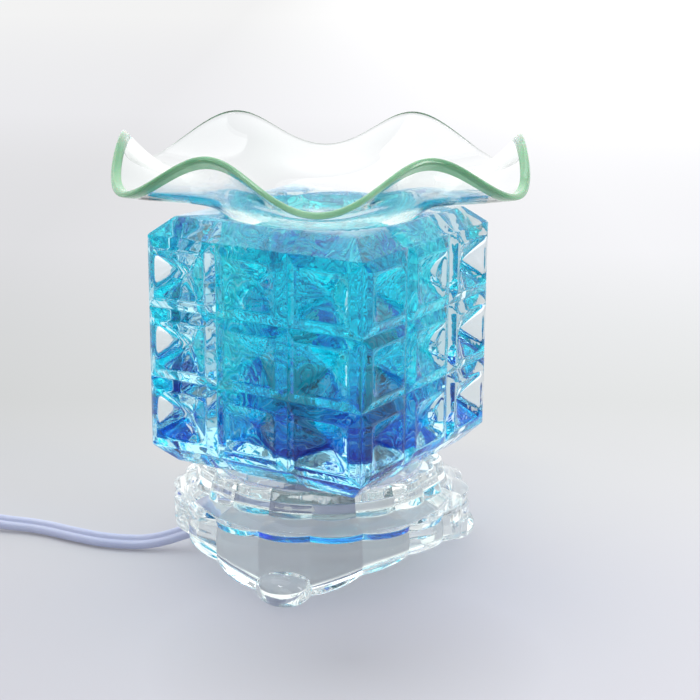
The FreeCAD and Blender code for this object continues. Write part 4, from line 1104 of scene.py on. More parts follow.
class GlassDish:
    """The lift-off dish: a flat-bottomed bowl with a wide six-wave rim."""

    def __init__(self, sizes: DishSizes) -> None:
        """Keeps the sizes."""
        self.sizes = sizes

    def section(self) -> np.ndarray:
        """Radius, height, wave share and pull share round the glass section, middle to middle.

        Returns:
            One row per point of the section.
        """
        sizes = self.sizes
        rows = sizes.stations
        top = []
        low = []
        slope = 0.0
        for k, (radius, z, glass, wave, pull) in enumerate(rows):
            before = rows[max(k - 1, 0)]
            after = rows[min(k + 1, len(rows) - 1)]
            slope = math.atan2(after[1] - before[1], after[0] - before[0])
            lean = glass / 2 * math.sin(slope) if k else 0.0
            rise = glass / 2 * math.cos(slope)
            shares = (wave / sizes.wave_height, pull / sizes.pull_in)
            top.append((radius - lean, z + rise) + shares)
            low.append((radius + lean, z - rise) + shares)
        reach = sizes.rim_glass / 2 * math.cos(slope)
        lift = sizes.rim_glass / 2 * math.sin(slope)
        rim = [(p[0] + reach, p[1] + lift, 1.0, 1.0) for p in (top[-1], low[-1])]
        line = b_spline(np.array(top + rim + low[::-1]), sizes.rows)
        first, last = line[[0, -1]] * (0.0, 1.0, 1.0, 1.0)
        return np.vstack([first, line, last])

    def build(self) -> Piece:
        """The sheet before its waves, with the shares stored on its points.

        Returns:
            The sheet.
        """
        line = self.section()
        obj = lathe("dish", line, self.sizes.columns, closed=False)
        spots = [v.co / MM for v in obj.data.vertices]
        where = np.array([(math.hypot(spot.x, spot.y), spot.z) for spot in spots])
        apart = ((where[:, None, :] - line[None, :, :2]) ** 2).sum(axis=2)
        nearest = apart.argmin(axis=1)
        for column, name in enumerate(("wave_share", "pull_share"), 2):
            mark = obj.data.attributes.new(name, "FLOAT", "POINT")
            mark.data.foreach_set("value", line[nearest, column])
        faces = obj.data.polygons
        reach = np.array([min(where[v][0] for v in face.vertices) for face in faces])
        depth = np.array([face.center.y / MM for face in faces])
        rim = obj.data.attributes.new("rim", "BOOLEAN", "FACE")
        marks = (reach > self.sizes.rim_from) & (depth < self.sizes.rim_back)
        rim.data.foreach_set("value", marks)
        return obj

    def dress(self, palette: Palette) -> None:
        """Runs the wave rule and hands the dish over.

        Args:
            palette: The materials.
        """
        obj = self.build()
        sizes = self.sizes
        values = {
            "Waves": sizes.waves,
            "Wave height": sizes.wave_height * MM,
            "Pull in": sizes.pull_in * MM,
            "Material": palette.get("dish"),
            "Marked material": palette.get("rim"),
        }
        wave_rule().apply(obj, values)
        place(obj, Body.DISH, ["glass_dish"], SHARP.smooth_glass)


@dataclass(frozen=True)
class BlockSizes:
    """Sizes of the glass block, in millimetres and degrees."""

    sides: int = 4
    turn: float = -31.65
    line_half: float = 40.0
    groove_depth: float = 1.6
    groove_half: float = 3.35
    corner_cut: float = 3.3
    corner_round: float = 0.25
    rim_half: float = 33.7
    bottom: float = 35.7
    face_bottom: float = 42.1
    face_top: float = 111.9
    top: float = 117.5
    cells: int = 3
    land: float = 0.7
    cell_depth: float = 4.8
    cell_round: float = 5.0
    cell_bow: float = 1.2
    cavity: float = 31.5
    floor: float = 43.7
    floor_round: float = 2.0
    hole: float = 5.5
    hole_edge: float = 0.3
    # Distances of the extra grid lines from a valley, and from a groove's edge to either side
    valley_lines: tuple[float, ...] = (0.3, 1.7)
    edge_line: float = 0.35
    # Shares of a cell's half width where grid lines lie, closer together at its ends
    cell_lines: tuple[float, ...] = (
        0.96, 0.885, 0.79, 0.68, 0.57, 0.46, 0.35, 0.25, 0.15, 0.065, 0.0,
    )
    # Share of a cell's width out to which the lines stay upright on the chamfers
    knee: float = 0.65
    # Grid lines closer together than this become one
    nearest: float = 0.001
    # Inset from the rim and groove share of the bottom's outer lines
    bottom_lines: tuple[tuple[float, float], ...] = ((1.0, 0.35), (0.35, 1.0))
    # Shares of the lower and the upper chamfer where lines lie; 0 and 1 are sharp corners
    low_lines: tuple[float, ...] = (0.0, 0.04, 0.3, 0.65, 0.95)
    high_lines: tuple[float, ...] = (0.06, 0.35, 0.65, 0.96, 1.0)
    sharp_cut: float = 0.12
    # Radius past the cavity's and depth under the top of the lines of its polished mouth
    mouth: tuple[tuple[float, float], ...] = ((1.05, 0.0), (0.8, 0.06), (0.15, 0.7), (0.0, 1.1))
    wall_lines: int = 8
    round_lines: int = 4
    floor_rings: tuple[float, ...] = (29.0, 24.0, 14.0)
    # Lines in the middle of the cavity's floor, from the one where the lacquer ends
    bare_lines: int = 4
    weld: float = 0.004


class GlassBlock:
    """The faceted block: sunk cells between V grooves, round cavity with coloured lacquer."""

    def __init__(self, sizes: BlockSizes) -> None:
        """Works out the cell sizes.

        Args:
            sizes: Sizes of the block.
        """
        self.sizes = sizes
        self.column = 2 * sizes.line_half / sizes.cells
        self.row = (sizes.face_top - sizes.face_bottom) / sizes.cells
        self.cell_half = self.column / 2 - sizes.groove_half - sizes.land
        self.cell_rise = self.row / 2 - sizes.groove_half - sizes.land

    def lines(self, pitch: float, half: float, first: float) -> np.ndarray:
        """Grid lines across the cells, closer together along every crease.

        Args:
            pitch: Distance from cell to cell.
            half: Half the size of a cell.
            first: Where the first cell's outer edge lies.

        Returns:
            The places of the lines, in order.
        """
        s = self.sizes
        valley = pitch / 2
        edge = valley - s.groove_half
        side = [valley - d for d in s.valley_lines]
        side += [edge + s.edge_line, edge, edge - s.edge_line, half]
        side += [half * share for share in s.cell_lines]
        places = {0.0}
        for k in range(s.cells):
            middle = first + (k + 0.5) * pitch
            for offset in [valley] + side:
                places.add(round(middle - offset, 6))
                places.add(round(middle + offset, 6))
        ordered = sorted(places)
        kept = [ordered[0]]
        for value in ordered[1:]:
            if value - kept[-1] > s.nearest:
                kept.append(value)
        return np.array(kept)

    def valleys(self, x: np.ndarray, pitch: float) -> np.ndarray:
        """How deep each place lies in the V grooves, as a share, or below nothing beside them."""
        near = np.minimum(np.abs(x - pitch / 2), np.abs(x + pitch / 2))
        return 1 - near / self.sizes.groove_half

    def depth(self, x: np.ndarray, z: np.ndarray) -> np.ndarray:
        """How far a face lies inside the block's full width at each place.

        Args:
            x: Places across the face.
            z: Their heights.

        Returns:
            The depths, in millimetres.
        """
        s = self.sizes
        half = (s.face_top - s.face_bottom) / 2
        level = z - (s.face_bottom + s.face_top) / 2
        groove = np.zeros(np.broadcast(x, z).shape)
        away = []
        for value, pitch, cell, reach in (
            (x, self.column, self.cell_half, s.line_half), (level, self.row, self.cell_rise, half),
        ):
            rim = (np.abs(value) - (reach - s.corner_cut)) / s.corner_cut
            share = np.maximum(self.valleys(value, pitch), rim)
            groove = np.maximum(groove, s.groove_depth * share)
            away.append(np.abs(value - np.round(value / pitch) * pitch) / cell)
        power = s.cell_round
        out = np.minimum((away[0] ** power + away[1] ** power) ** (1 / power), 1.0)
        return np.maximum(groove, s.cell_depth * (1 - out ** s.cell_bow))

    def square_row(self, half: float, z: float, lines: np.ndarray, notch: float) -> np.ndarray:
        """One row of points along the side of a square, with the upright grooves cut in.

        Args:
            half: Half the side of the square.
            z: Height of the row.
            lines: The grid lines across the face.
            notch: Share of the grooves' depth that is cut in.

        Returns:
            The points of the row.
        """
        knee = self.column * self.sizes.knee
        size = np.abs(lines)
        outer = knee + (size - knee) * (half - knee) / (self.sizes.line_half - knee)
        x = np.sign(lines) * np.where(size < knee, size, outer)
        inside = np.maximum(self.valleys(x, self.column), 0.0)
        y = half - notch * self.sizes.groove_depth * inside
        return np.column_stack([x, y, np.full(len(lines), z)])

    def circle_row(self, radius: float, z: float, lines: np.ndarray) -> np.ndarray:
        """One row of points on a quarter circle.

        Args:
            radius: Radius of the circle.
            z: Height of the row.
            lines: The grid lines across the face.

        Returns:
            The points of the row.
        """
        turn = np.arctan(lines / self.sizes.line_half)
        level = np.full(len(lines), z)
        return np.column_stack([radius * np.sin(turn), radius * np.cos(turn), level])

    def chamfer(
        self, start: tuple, end: tuple, shares: Sequence[float], lines: np.ndarray
    ) -> list:
        """Rows up a chamfer, held back a little at its sharp corner.

        Args:
            start: Half width and height at its lower edge.
            end: The same at its upper edge.
            shares: Where the rows lie, from 0 to 1.
            lines: The grid lines across the face.

        Returns:
            The rows.
        """
        rows = []
        for share in shares:
            back = self.sizes.sharp_cut * ((share == 0.0) - (share == 1.0))
            half = start[0] + (end[0] - start[0]) * share - abs(back)
            rise = start[1] + (end[1] - start[1]) * share + back
            rows.append(self.square_row(half, rise, lines, 1.0))
        return rows

    def face_rows(self, lines: np.ndarray) -> list:
        """The rows of the face with its cells, from its lower to its upper edge.

        Args:
            lines: The grid lines across the face.

        Returns:
            The rows.
        """
        s = self.sizes
        half = (s.face_top - s.face_bottom) / 2
        rows = []
        for z in self.lines(self.row, self.cell_rise, -half) + s.face_bottom + half:
            level = np.full(len(lines), z)
            full = s.line_half + s.groove_depth
            row = np.column_stack([lines, full - self.depth(lines, level), level])
            row[[0, -1], :2] *= 1 - s.corner_round / s.line_half
            rows.append(row)
        return rows

    def cavity_rows(self, lines: np.ndarray) -> list:
        """The rows of the cavity from the mouth's wall down to the hole in its floor.

        Args:
            lines: The grid lines across the face.

        Returns:
            The rows.
        """
        s = self.sizes
        top = s.top - s.mouth[-1][1]
        heights = np.linspace(top, s.floor + s.floor_round, s.wall_lines + 1)
        rows = [self.circle_row(s.cavity, z, lines) for z in heights]
        for angle in np.linspace(0.0, math.pi / 2, s.round_lines + 1)[1:]:
            radius = s.cavity - s.floor_round * (1 - math.cos(angle))
            z = s.floor + s.floor_round * (1 - math.sin(angle))
            rows.append(self.circle_row(radius, z, lines))
        rings = (*s.floor_rings, s.hole + s.hole_edge, s.hole)
        return rows + [self.circle_row(radius, s.floor, lines) for radius in rings]

    def rows(self, lines: np.ndarray) -> tuple[list, int, int, int]:
        """Every row of the quarter from the hole's lower edge round to its upper edge.

        Args:
            lines: The grid lines across the face.

        Returns:
            The rows, the first and last face row, and the first lining row.
        """
        s = self.sizes
        rings = (s.hole, s.hole + s.hole_edge, *reversed(s.floor_rings))
        rows = [self.circle_row(radius, s.bottom, lines) for radius in rings]
        for inset, notch in s.bottom_lines:
            rows.append(self.square_row(s.rim_half - inset, s.bottom, lines, notch))
        ends = ((s.rim_half, s.bottom), (s.line_half, s.face_bottom))
        rows += self.chamfer(*ends, s.low_lines, lines)
        first_face = len(rows)
        rows += self.face_rows(lines)
        last_face = len(rows) - 1
        ends = ((s.line_half, s.face_top), (s.rim_half, s.top))
        rows += self.chamfer(*ends, s.high_lines, lines)
        rows.append(self.square_row(s.rim_half - s.bottom_lines[-1][0], s.top, lines, 1.0))
        for past, under in s.mouth[:-1]:
            rows.append(self.circle_row(s.cavity + past, s.top - under, lines))
        return rows + self.cavity_rows(lines), first_face, last_face, len(rows)

    def build(self) -> Piece:
        """One quarter of the block, with its lining faces marked.

        Returns:
            The quarter.
        """
        s = self.sizes
        lines = self.lines(self.column, self.cell_half, -s.line_half)
        rows, first_face, last_face, lining = self.rows(lines)
        points = np.concatenate(rows)
        columns = len(lines)
        level = (s.face_bottom + s.face_top) / 2
        faces = grid_faces(len(rows), columns, True, False)
        for k, corners in enumerate(faces):
            if first_face <= k // (columns - 1) < last_face:
                centre = points[list(corners)].mean(axis=0)
                u = centre[0] - round(centre[0] / self.column) * self.column
                v = centre[2] - level - round((centre[2] - level) / self.row) * self.row
                if u * v < 0:
                    faces[k] = corners[1:] + corners[:1]
        turn = math.radians(s.turn)
        flat = [[math.cos(turn), math.sin(turn)], [-math.sin(turn), math.cos(turn)]]
        points[:, :2] = points[:, :2] @ np.array(flat)
        obj = mesh_piece("block", points, faces)
        last = len(rows) - s.bare_lines
        marks = [lining <= k // (columns - 1) < last for k in range(len(faces))]
        obj.data.attributes.new("lining", "BOOLEAN", "FACE").data.foreach_set("value", marks)
        return obj

    def dress(self, palette: Palette) -> None:
        """Turns the quarter into the whole block and hands it over.

        Args:
            palette: The materials.
        """
        obj = self.build()
        values = {
            "Copies": self.sizes.sides,
            "Weld distance": self.sizes.weld * MM,
            "Material": palette.get("block"),
            "Marked material": palette.get("lacquer"),
        }
        turn_copies_rule().apply(obj, values)
        clean(obj)
        place(obj, Body.ROOT, ["glass_block"], SHARP.smooth_glass)


@dataclass(frozen=True)
class BaseSizes:
    """Sizes of the glass base, in millimetres and degrees."""

    scallops: int = 18
    bulge: float = 1.9
    cusp_angle: float = -3.1
    columns_per_scallop: int = 20
    # How strongly the columns crowd at the cusps, and how near a seam none lies
    crowding: float = 0.75
    seam: float = 0.2
    feet: int = 3
    foot_angle: float = -13.1
    foot_at: float = 47.3
    foot_radial: float = 7.7
    foot_tangential: float = 9.2
    foot_vertical: float = 5.8
    foot_z: float = 5.65
    foot_rows: int = 33
    foot_columns: int = 64
    skirt_low: float = 3.2
    skirt_top: float = 19.0
    skirt_inner: float = 41.3
    arch_rise: float = 10.7
    arch_half: float = 36.8
    # Height above the skirt's lower edge up to which it follows the arch fully
    arch_edge: float = 1.2
    weld: float = 0.004
    fused_weld: float = 0.0005
    # Radius, height, scallop share and rounding of each corner, from the top hole round to
    # the ceiling hole
    profile: Stations = (
        (5.5, 34.9, 0.0, 0.0),
        (31.0, 34.9, 0.0, 0.1),
        (37.7, 34.9, 1.0, 0.5),
        (38.5, 34.1, 1.0, 0.5),
        (40.6, 26.7, 1.0, 0.5),
        (48.1, 24.0, 1.0, 0.4),
        (47.2, 21.6, 1.0, 0.15),
        (48.1, 19.0, 1.0, 0.3),
        (47.8, 3.2, 1.0, 1.3),
        (42.9, 3.2, 0.0, 2.4),
        (42.9, 19.5, 0.0, 1.2),
        (33.5, 26.0, 0.0, 1.2),
        (33.5, 28.9, 0.0, 0.6),
        (5.5, 28.9, 0.0, 0.0),
    )


class GlassBase:
    """Two scalloped tiers over an arched skirt with three bead feet."""

    def __init__(self, sizes: BaseSizes) -> None:
        """Keeps the sizes."""
        self.sizes = sizes

    def scalloped(self, radius: float, angles: np.ndarray) -> np.ndarray:
        """Radius of the outline of equal arcs, at angles in degrees from -Y towards +X.

        Args:
            radius: Radius at the cusps.
            angles: The angles.

        Returns:
            The radius at each angle.
        """
        s = self.sizes
        half = math.radians(180 / s.scallops)
        offset = (angles - s.cusp_angle) % (360 / s.scallops) - 180 / s.scallops
        turn = np.radians(offset)
        wide = radius + s.bulge
        centre = (wide ** 2 - radius ** 2) / (2 * (wide - radius * math.cos(half)))
        reach = wide - centre
        return centre * np.cos(turn) + np.sqrt(reach ** 2 - (centre * np.sin(turn)) ** 2)

    def columns(self) -> np.ndarray:
        """Angles of one foot's part of the base, closer together at the cusps.

        Returns:
            The angles in degrees from -Y towards +X.
        """
        s = self.sizes
        pitch = 360 / s.scallops
        part = 360 / s.feet
        start = s.foot_angle - part / 2
        shares = np.arange(s.columns_per_scallop) / s.columns_per_scallop
        crowded = (1 - np.cos(math.pi * shares)) / 2
        inside = pitch * (s.crowding * crowded + (1 - s.crowding) * shares)
        first = start - ((start - s.cusp_angle) % pitch)
        places = [first + k * pitch + inside for k in range(-1, s.scallops // s.feet + 1)]
        kept = [a for a in np.concatenate(places) if start + s.seam < a < start + part - s.seam]
        return np.array([start] + kept + [start + part])

    def build(self) -> Piece:
        """One foot's part of the base, without its foot.

        Returns:
            The part as an open shell.
        """
        s = self.sizes
        line = fillet([p[:3] for p in s.profile], [p[3] for p in s.profile[1:-1]])
        angles = self.columns()
        arch_angle = s.foot_angle + 180.0 / s.feet
        side = np.where(angles < s.foot_angle, arch_angle - 360.0 / s.feet, arch_angle)
        barrel = (s.arch_half ** 2 + s.arch_rise ** 2) / (2 * s.arch_rise)
        turn = np.radians(angles - 90.0)
        rows = []
        for radius, z, share in line:
            ring = radius + share * (self.scalloped(radius, angles) - radius)
            across = ring * np.sin(np.radians(angles - side))
            rise = np.sqrt(np.maximum(barrel ** 2 - across ** 2, 0.0)) - (barrel - s.arch_rise)
            fade = (s.skirt_top - z) / (s.skirt_top - s.skirt_low - s.arch_edge)
            fade = min(max(fade, 0.0), 1.0) if radius > s.skirt_inner else 0.0
            height = z + np.maximum(rise, 0.0) * fade
            rows.append(np.column_stack([ring * np.cos(turn), ring * np.sin(turn), height]))
        faces = grid_faces(len(rows), len(angles), True, False)
        return mesh_piece("base", np.concatenate(rows), faces)

    def foot(self, number: int) -> Piece:
        """One bead as a closed piece of its own, with its foot just flat.

        Args:
            number: Which of the feet.

        Returns:
            The bead.
        """
        s = self.sizes
        angles = np.linspace(-math.pi / 2, math.pi / 2, s.foot_rows)
        ball = np.column_stack([np.cos(angles), np.sin(angles)])
        obj = lathe(f"bead_{number}", ball, s.foot_columns, closed=False)
        turn = math.radians(s.foot_angle + number * 360 / s.feet - 90.0)
        size = Matrix.Diagonal((s.foot_radial, s.foot_tangential, s.foot_vertical, 1.0))
        centre = Vector((s.foot_at * math.cos(turn), s.foot_at * math.sin(turn), s.foot_z)) * MM
        obj.data.transform(Matrix.Translation(centre) @ Matrix.Rotation(turn, 4, "Z") @ size)
        for vertex in obj.data.vertices:
            vertex.co.z = max(vertex.co.z, 0.0)
        return obj

    def dress(self, palette: Palette) -> None:
        """Turns the part into the whole base, fuses the beads on and hands it over.

        Args:
            palette: The materials.
        """
        s = self.sizes
        obj = self.build()
        glass = palette.get("base")
        values = {
            "Copies": s.feet,
            "Weld distance": s.weld * MM,
            "Material": glass,
            "Marked material": glass,
        }
        turn_copies_rule().apply(obj, values)
        clean(obj)
        beads = [self.foot(k) for k in range(s.feet)]
        for bead in beads:
            union = obj.modifiers.new("bead", "BOOLEAN")
            union.operation = "UNION"
            union.solver = "EXACT"
            union.object = bead
        bake(obj)
        for bead in beads:
            bpy.data.objects.remove(bead)
        clean(obj, s.fused_weld)
        place(obj, Body.ROOT, ["glass_base"], SHARP.base, glass)


@dataclass(frozen=True)
class ClampSizes:
    """Sizes of the threaded tube and the ring under the block, in millimetres."""

    radius: float = 5.0
    root: float = 4.62
    bore: float = 3.5
    low: float = 18.8
    high: float = 50.8
    pitch: float = 1.0
    lead_in: float = 0.6
    tube_columns: int = 64
    # Place along one turn, as a share of the pitch, and share of the thread's height
    ridge: tuple[tuple[float, float], ...] = ((0.06, 0.0), (0.42, 1.0), (0.58, 1.0), (0.94, 0.0))
    ring: tuple[tuple[float, float], ...] = (
        (12.0, 34.93), (30.0, 34.93), (30.0, 35.67), (12.0, 35.67),
    )
    ring_round: float = 0.25
    ring_columns: int = 96


class Clamp:
    """The ring, tube, washers and nuts that hold block and base together."""

    COPIES = (
        ("ceiling_washer", "washer", "washer_silicone", 0.25, Body.ROOT),
        ("floor_washer", "washer", "washer_silicone", 0.25, Body.ROOT),
        ("steel_washer", "zinc", "zinc_steel", 0.12, Body.ROOT),
        ("clamp_nut", "zinc", "zinc_steel", 0.15, Body.ROOT),
        ("bracket_nut", "zinc", "zinc_steel", 0.15, Body.ROOT),
    )

    def __init__(self, sizes: ClampSizes) -> None:
        """Keeps the sizes."""
        self.sizes = sizes

    def build_tube(self) -> Piece:
        """The hollow tube with its thread as close-set ridges.

        Returns:
            The tube.
        """
        s = self.sizes
        line = [(s.bore, s.low), (s.root, s.low)]
        turns = int((s.high - s.low - 2 * s.lead_in) / s.pitch)
        start = (s.low + s.high - turns * s.pitch) / 2
        for k in range(turns):
            for along, share in s.ridge:
                radius = s.root + (s.radius - s.root) * share
                line.append((radius, start + (k + along) * s.pitch))
        line += [(s.root, s.high), (s.bore, s.high)]
        return lathe("threaded_tube_ridged", np.array(line), s.tube_columns)

    def dress(self, palette: Palette) -> None:
        """Builds and hands over every piece of the clamp.

        Args:
            palette: The materials.
        """
        s = self.sizes
        tube = self.build_tube()
        zinc = palette.get("zinc")
        place(tube, Body.ROOT, ["threaded_tube"], SHARP.thread, zinc)
        gasket = lathe("gasket_ring", fillet(s.ring, [s.ring_round] * 2), s.ring_columns)
        clear = palette.get("gasket")
        place(gasket, Body.ROOT, ["seat_gasket"], SHARP.rounded, clear)
        copy_nodes(self.COPIES, palette, SHARP.clamp)


@dataclass(frozen=True)
class FilamentSizes:
    """Sizes of the coiled filament and its posts, in millimetres."""

    half: float = 2.3
    radius: float = 0.34
    turns: int = 14
    points_per_turn: int = 14
    wire: float = 0.09
    post_low: float = 79.2
    post_high: float = 85.9
    middle: float = 86.2


class LampHolder:
    """Bracket, ceramic holder, contacts, screws and the push-in lamp."""

    COPIES = (
        ("holder_bracket", "zinc", "zinc_steel", 0.12, Body.ROOT),
        ("lamp_holder", "ceramic", "holder_ceramic", 0.2, Body.ROOT),
        ("holder_screws", "zinc", "zinc_steel", 0.1, Body.ROOT),
        ("holder_contacts", "brass", "contact_brass", 0.0, Body.ROOT),
        ("inner_leads", "core", "core_pvc", 0.0, Body.ROOT),
        ("lead_ferrules", "zinc", "zinc_steel", 0.1, Body.ROOT),
        ("lamp_capsule", "quartz", "lamp_quartz", 0.0, Body.LAMP),
        ("lamp_pins", "wire", "lamp_wire", 0.0, Body.LAMP),
    )

    def __init__(self, sizes: FilamentSizes) -> None:
        """Keeps the filament's sizes."""
        self.sizes = sizes

    def build_filament(self) -> Piece:
        """The coiled filament between its two posts.

        Returns:
            The filament.
        """
        s = self.sizes
        angles = np.linspace(0.0, s.turns * 2 * math.pi, s.turns * s.points_per_turn + 1)
        across = np.linspace(-s.half, s.half, len(angles))
        rise = s.middle + s.radius * np.sin(angles)
        helix = np.column_stack([across, s.radius * np.cos(angles), rise])
        post = np.array([(s.half, 0.0, s.post_high), (s.half, 0.0, s.post_low)])
        wire = np.concatenate([post[::-1] * (-1.0, 1.0, 1.0), helix, post])
        round_wire = {"bevel_depth": s.wire * MM, "bevel_resolution": 2, "use_fill_caps": True}
        return add_object("filament_coil", curve_mesh("POLY", wire, **round_wire))

    def dress(self, palette: Palette) -> None:
        """Builds and hands over every piece of the holder and the lamp.

        Args:
            palette: The materials.
        """
        copy_nodes(self.COPIES, palette, SHARP.holder)
        coil = self.build_filament()
        wire = palette.get("wire")
        place(coil, Body.LAMP, ["lamp_filament"], SHARP.rounded, wire)


@dataclass(frozen=True)
class LeadSizes:
    """Sizes and points of the lead, in millimetres and degrees."""

    lobe: float = 1.5
    lobe_at: float = 1.15
    lobe_end: float = 137.0
    lobe_points: int = 13
    width: float = 5.3
    roll: float = 38.0
    coil_roll: float = 90.0
    # Length over which the lead turns from lying to standing on edge
    roll_length: float = 80.0
    first_step: float = 1.4
    second_step: float = 1.6
    resolution: int = 12
    first_route: tuple[Point, ...] = (
        (-28.0, 0.0, 10.95), (-42.0, 0.0, 7.97), (-57.0, -1.0, 2.75), (-72.0, 0.3, 2.65),
        (-84.5, 6.0, 2.65), (-98.5, 14.2, 2.65), (-113.0, 17.0, 3.0), (-126.5, 18.0, 5.2),
        (-138.0, 18.0, 5.2),
    )
    second_route: tuple[Point, ...] = (
        (-190.0, 18.0, 5.2), (-203.0, 18.0, 5.2), (-217.0, 12.3, 3.9), (-228.2, 1.0, 3.5),
        (-236.15, -16.6, 3.5), (-235.72, -35.6, 3.5),
    )
    coil_centre: Point = (-194.1, -40.9, 3.5)
    coil_outer: float = 41.5
    coil_step: float = 5.9
    layer_turns: float = 3.375
    climb_turns: float = 0.5
    coil_start: float = 180.0
    coil_points_per_turn: int = 24
    heading: Point = (0.99974, -0.02262, 0.0)
    coil_end: Point = (-194.1, -82.4, 9.4)
    # Distances past the coil's end of the tail's points; the last one is where the plug starts
    tail: tuple[float, ...] = (6.0, 12.0, 19.3)


def ease(share: Union[float, np.ndarray]) -> Union[float, np.ndarray]:
    """A share from 0 to 1 that starts and ends gently."""
    return share * share * (3 - 2 * share)


class Lead:
    """The flat two-core lead in two lengths, before and after the dimmer."""

    def __init__(self, sizes: LeadSizes) -> None:
        """Keeps the sizes."""
        self.sizes = sizes

    def outline(self, roll: float) -> np.ndarray:
        """Two round lobes side by side, turned by roll degrees.

        Args:
            roll: The turn in degrees.

        Returns:
            Sideways and upward place of each point.
        """
        s = self.sizes
        spread = np.radians(np.linspace(-s.lobe_end, s.lobe_end, s.lobe_points))
        right = np.column_stack([s.lobe_at + s.lobe * np.cos(spread), s.lobe * np.sin(spread)])
        points = np.concatenate([right, -right])
        turn = math.radians(roll)
        matrix = np.array([[math.cos(turn), math.sin(turn)], [-math.sin(turn), math.cos(turn)]])
        return points @ matrix

    def coil_controls(self) -> np.ndarray:
        """Control points of the coil, pushed out so that the curve itself has the coil's size.

        Returns:
            The control points in millimetres.
        """
        s = self.sizes
        total = 2 * s.layer_turns + s.climb_turns
        count = round(total * s.coil_points_per_turn)
        inner = s.coil_outer - s.coil_step * s.layer_turns
        # A spline of second degree cuts each corner of its controls by a quarter
        gain = 1 / (0.75 + 0.25 * math.cos(2 * math.pi * total / count))
        points = []
        for turn in np.linspace(0.0, total, count + 1):
            climb = min(max((turn - s.layer_turns) / s.climb_turns, 0.0), 1.0)
            if turn <= s.layer_turns:
                radius = s.coil_outer - s.coil_step * turn
            elif climb < 1.0:
                radius = inner - s.coil_step * s.climb_turns * climb * (1 - climb)
            else:
                radius = inner + s.coil_step * (turn - s.layer_turns - s.climb_turns)
            angle = math.radians(s.coil_start) + 2 * math.pi * turn
            x = s.coil_centre[0] + radius * gain * math.cos(angle)
            y = s.coil_centre[1] + radius * gain * math.sin(angle)
            points.append((x, y, s.coil_centre[2] + s.coil_step * ease(climb)))
        return np.array(points)

    def spline_points(self, controls: np.ndarray, spacing: float) -> np.ndarray:
        """Even points on a second-degree spline through the given control points.

        Args:
            controls: Control points in millimetres.
            spacing: Distance between the wanted points.

        Returns:
            The points in millimetres.
        """
        fine = self.sizes.resolution
        mesh = curve_mesh("NURBS", controls, resolution_u=fine, render_resolution_u=fine)
        raw = np.array([tuple(v.co) for v in mesh.vertices]) / MM
        bpy.data.meshes.remove(mesh)
        steps = np.linalg.norm(np.diff(raw, axis=0), axis=1)
        along = np.concatenate([[0.0], np.cumsum(steps)])
        wanted = np.linspace(0.0, along[-1], round(along[-1] / spacing) + 1)
        return np.column_stack([np.interp(wanted, along, raw[:, k]) for k in range(3)])

    def tube(self, name: str, path: np.ndarray, rolls: np.ndarray) -> Piece:
        """The flat lead along a nearly level path, turned by its roll at each point.

        Args:
            name: Name of the piece.
            path: Points of the path in millimetres.
            rolls: Roll at each point in degrees.

        Returns:
            The closed tube.
        """
        tangents = np.gradient(path, axis=0)
        tangents /= np.linalg.norm(tangents, axis=1)[:, None]
        side = np.cross(tangents, (0.0, 0.0, 1.0))
        side /= np.linalg.norm(side, axis=1)[:, None]
        over = np.cross(side, tangents)
        rings = []
        for k, roll in enumerate(rolls):
            shape = self.outline(roll)
            rings.append(path[k] + shape[:, :1] * side[k] + shape[:, 1:] * over[k])
        return skin(name, rings)

    def lay(
        self,
        obj: Piece,
        nodes: Sequence[str],
        palette: Palette,
    ) -> None:
        """Args:
            obj: The length.
            nodes: CAD nodes it stands for.
            palette: The materials.
        """
        place(obj, Body.ROOT, nodes, SHARP.lead, palette.get("lead"))

    def dress(self, palette: Palette, on_first: Sequence, on_second: Sequence) -> None:
        """Builds both lengths and hands them over.

        Args:
            palette: The materials.
            on_first: Pieces at the far end of the first length; not used.
            on_second: Pieces on and at the far end of the second length; not used.
        """
        s = self.sizes
        first = self.spline_points(np.array(s.first_route), s.first_step)
        obj = self.tube("lead_to_dimmer", first, np.full(len(first), s.roll))
        self.lay(obj, ["power_lead"], palette)
        tail = [np.array(s.coil_end) + np.array(s.heading) * d for d in s.tail]
        controls = np.concatenate([np.array(s.second_route), self.coil_controls(), tail])
        second = self.spline_points(controls, s.second_step)
        length = np.linalg.norm(np.diff(second, axis=0), axis=1).sum()
        share = np.clip(np.linspace(0.0, length, len(second)) / s.roll_length, 0.0, 1.0)
        rolls = s.roll + (s.coil_roll - s.roll) * ease(share)
        obj = self.tube("lead_from_dimmer", second, rolls)
        nodes = ["coil_link", "lead_coil", "plug_tail"]
        self.lay(obj, nodes, palette)


@dataclass(frozen=True)
class PlugSizes:
    """Sizes of the plug, in millimetres along its axis from the boot's tip."""

    columns: int = 72
    boot: float = 13.0
    boot_tip: float = 3.55
    boot_root: float = 5.0
    boot_edge: float = 0.4
    boot_ribs: int = 5
    boot_steps: int = 12
    rib_depth: float = 0.45
    # Below 1 the ribs' grooves get flatter floors
    rib_shape: float = 0.6
    # Squareness of a circle
    round_shape: float = 2.0
    # Place from the boot's root, half width, half height and squareness, before the grip
    shoulder: Stations = (
        (0.0, 7.2, 6.0, 3.0), (0.35, 8.8, 7.0, 3.4), (1.2, 10.2, 7.9, 4.0),
        (2.8, 11.2, 8.5, 4.5), (5.0, 11.5, 8.8, 5.0),
    )
    grip_from: float = 6.0
    grip_length: float = 13.0
    grip_half: float = 11.55
    grip_ribs: int = 6
    grip_steps: int = 10
    grip_depth: float = 0.6
    # The same as the shoulder, in front of the grip
    front: Stations = (
        (21.0, 11.8, 8.9, 5.0), (23.5, 12.0, 9.0, 5.5), (28.8, 12.0, 9.0, 5.5),
        (29.5, 11.7, 8.7, 5.2), (30.0, 10.9, 7.9, 5.0),
    )


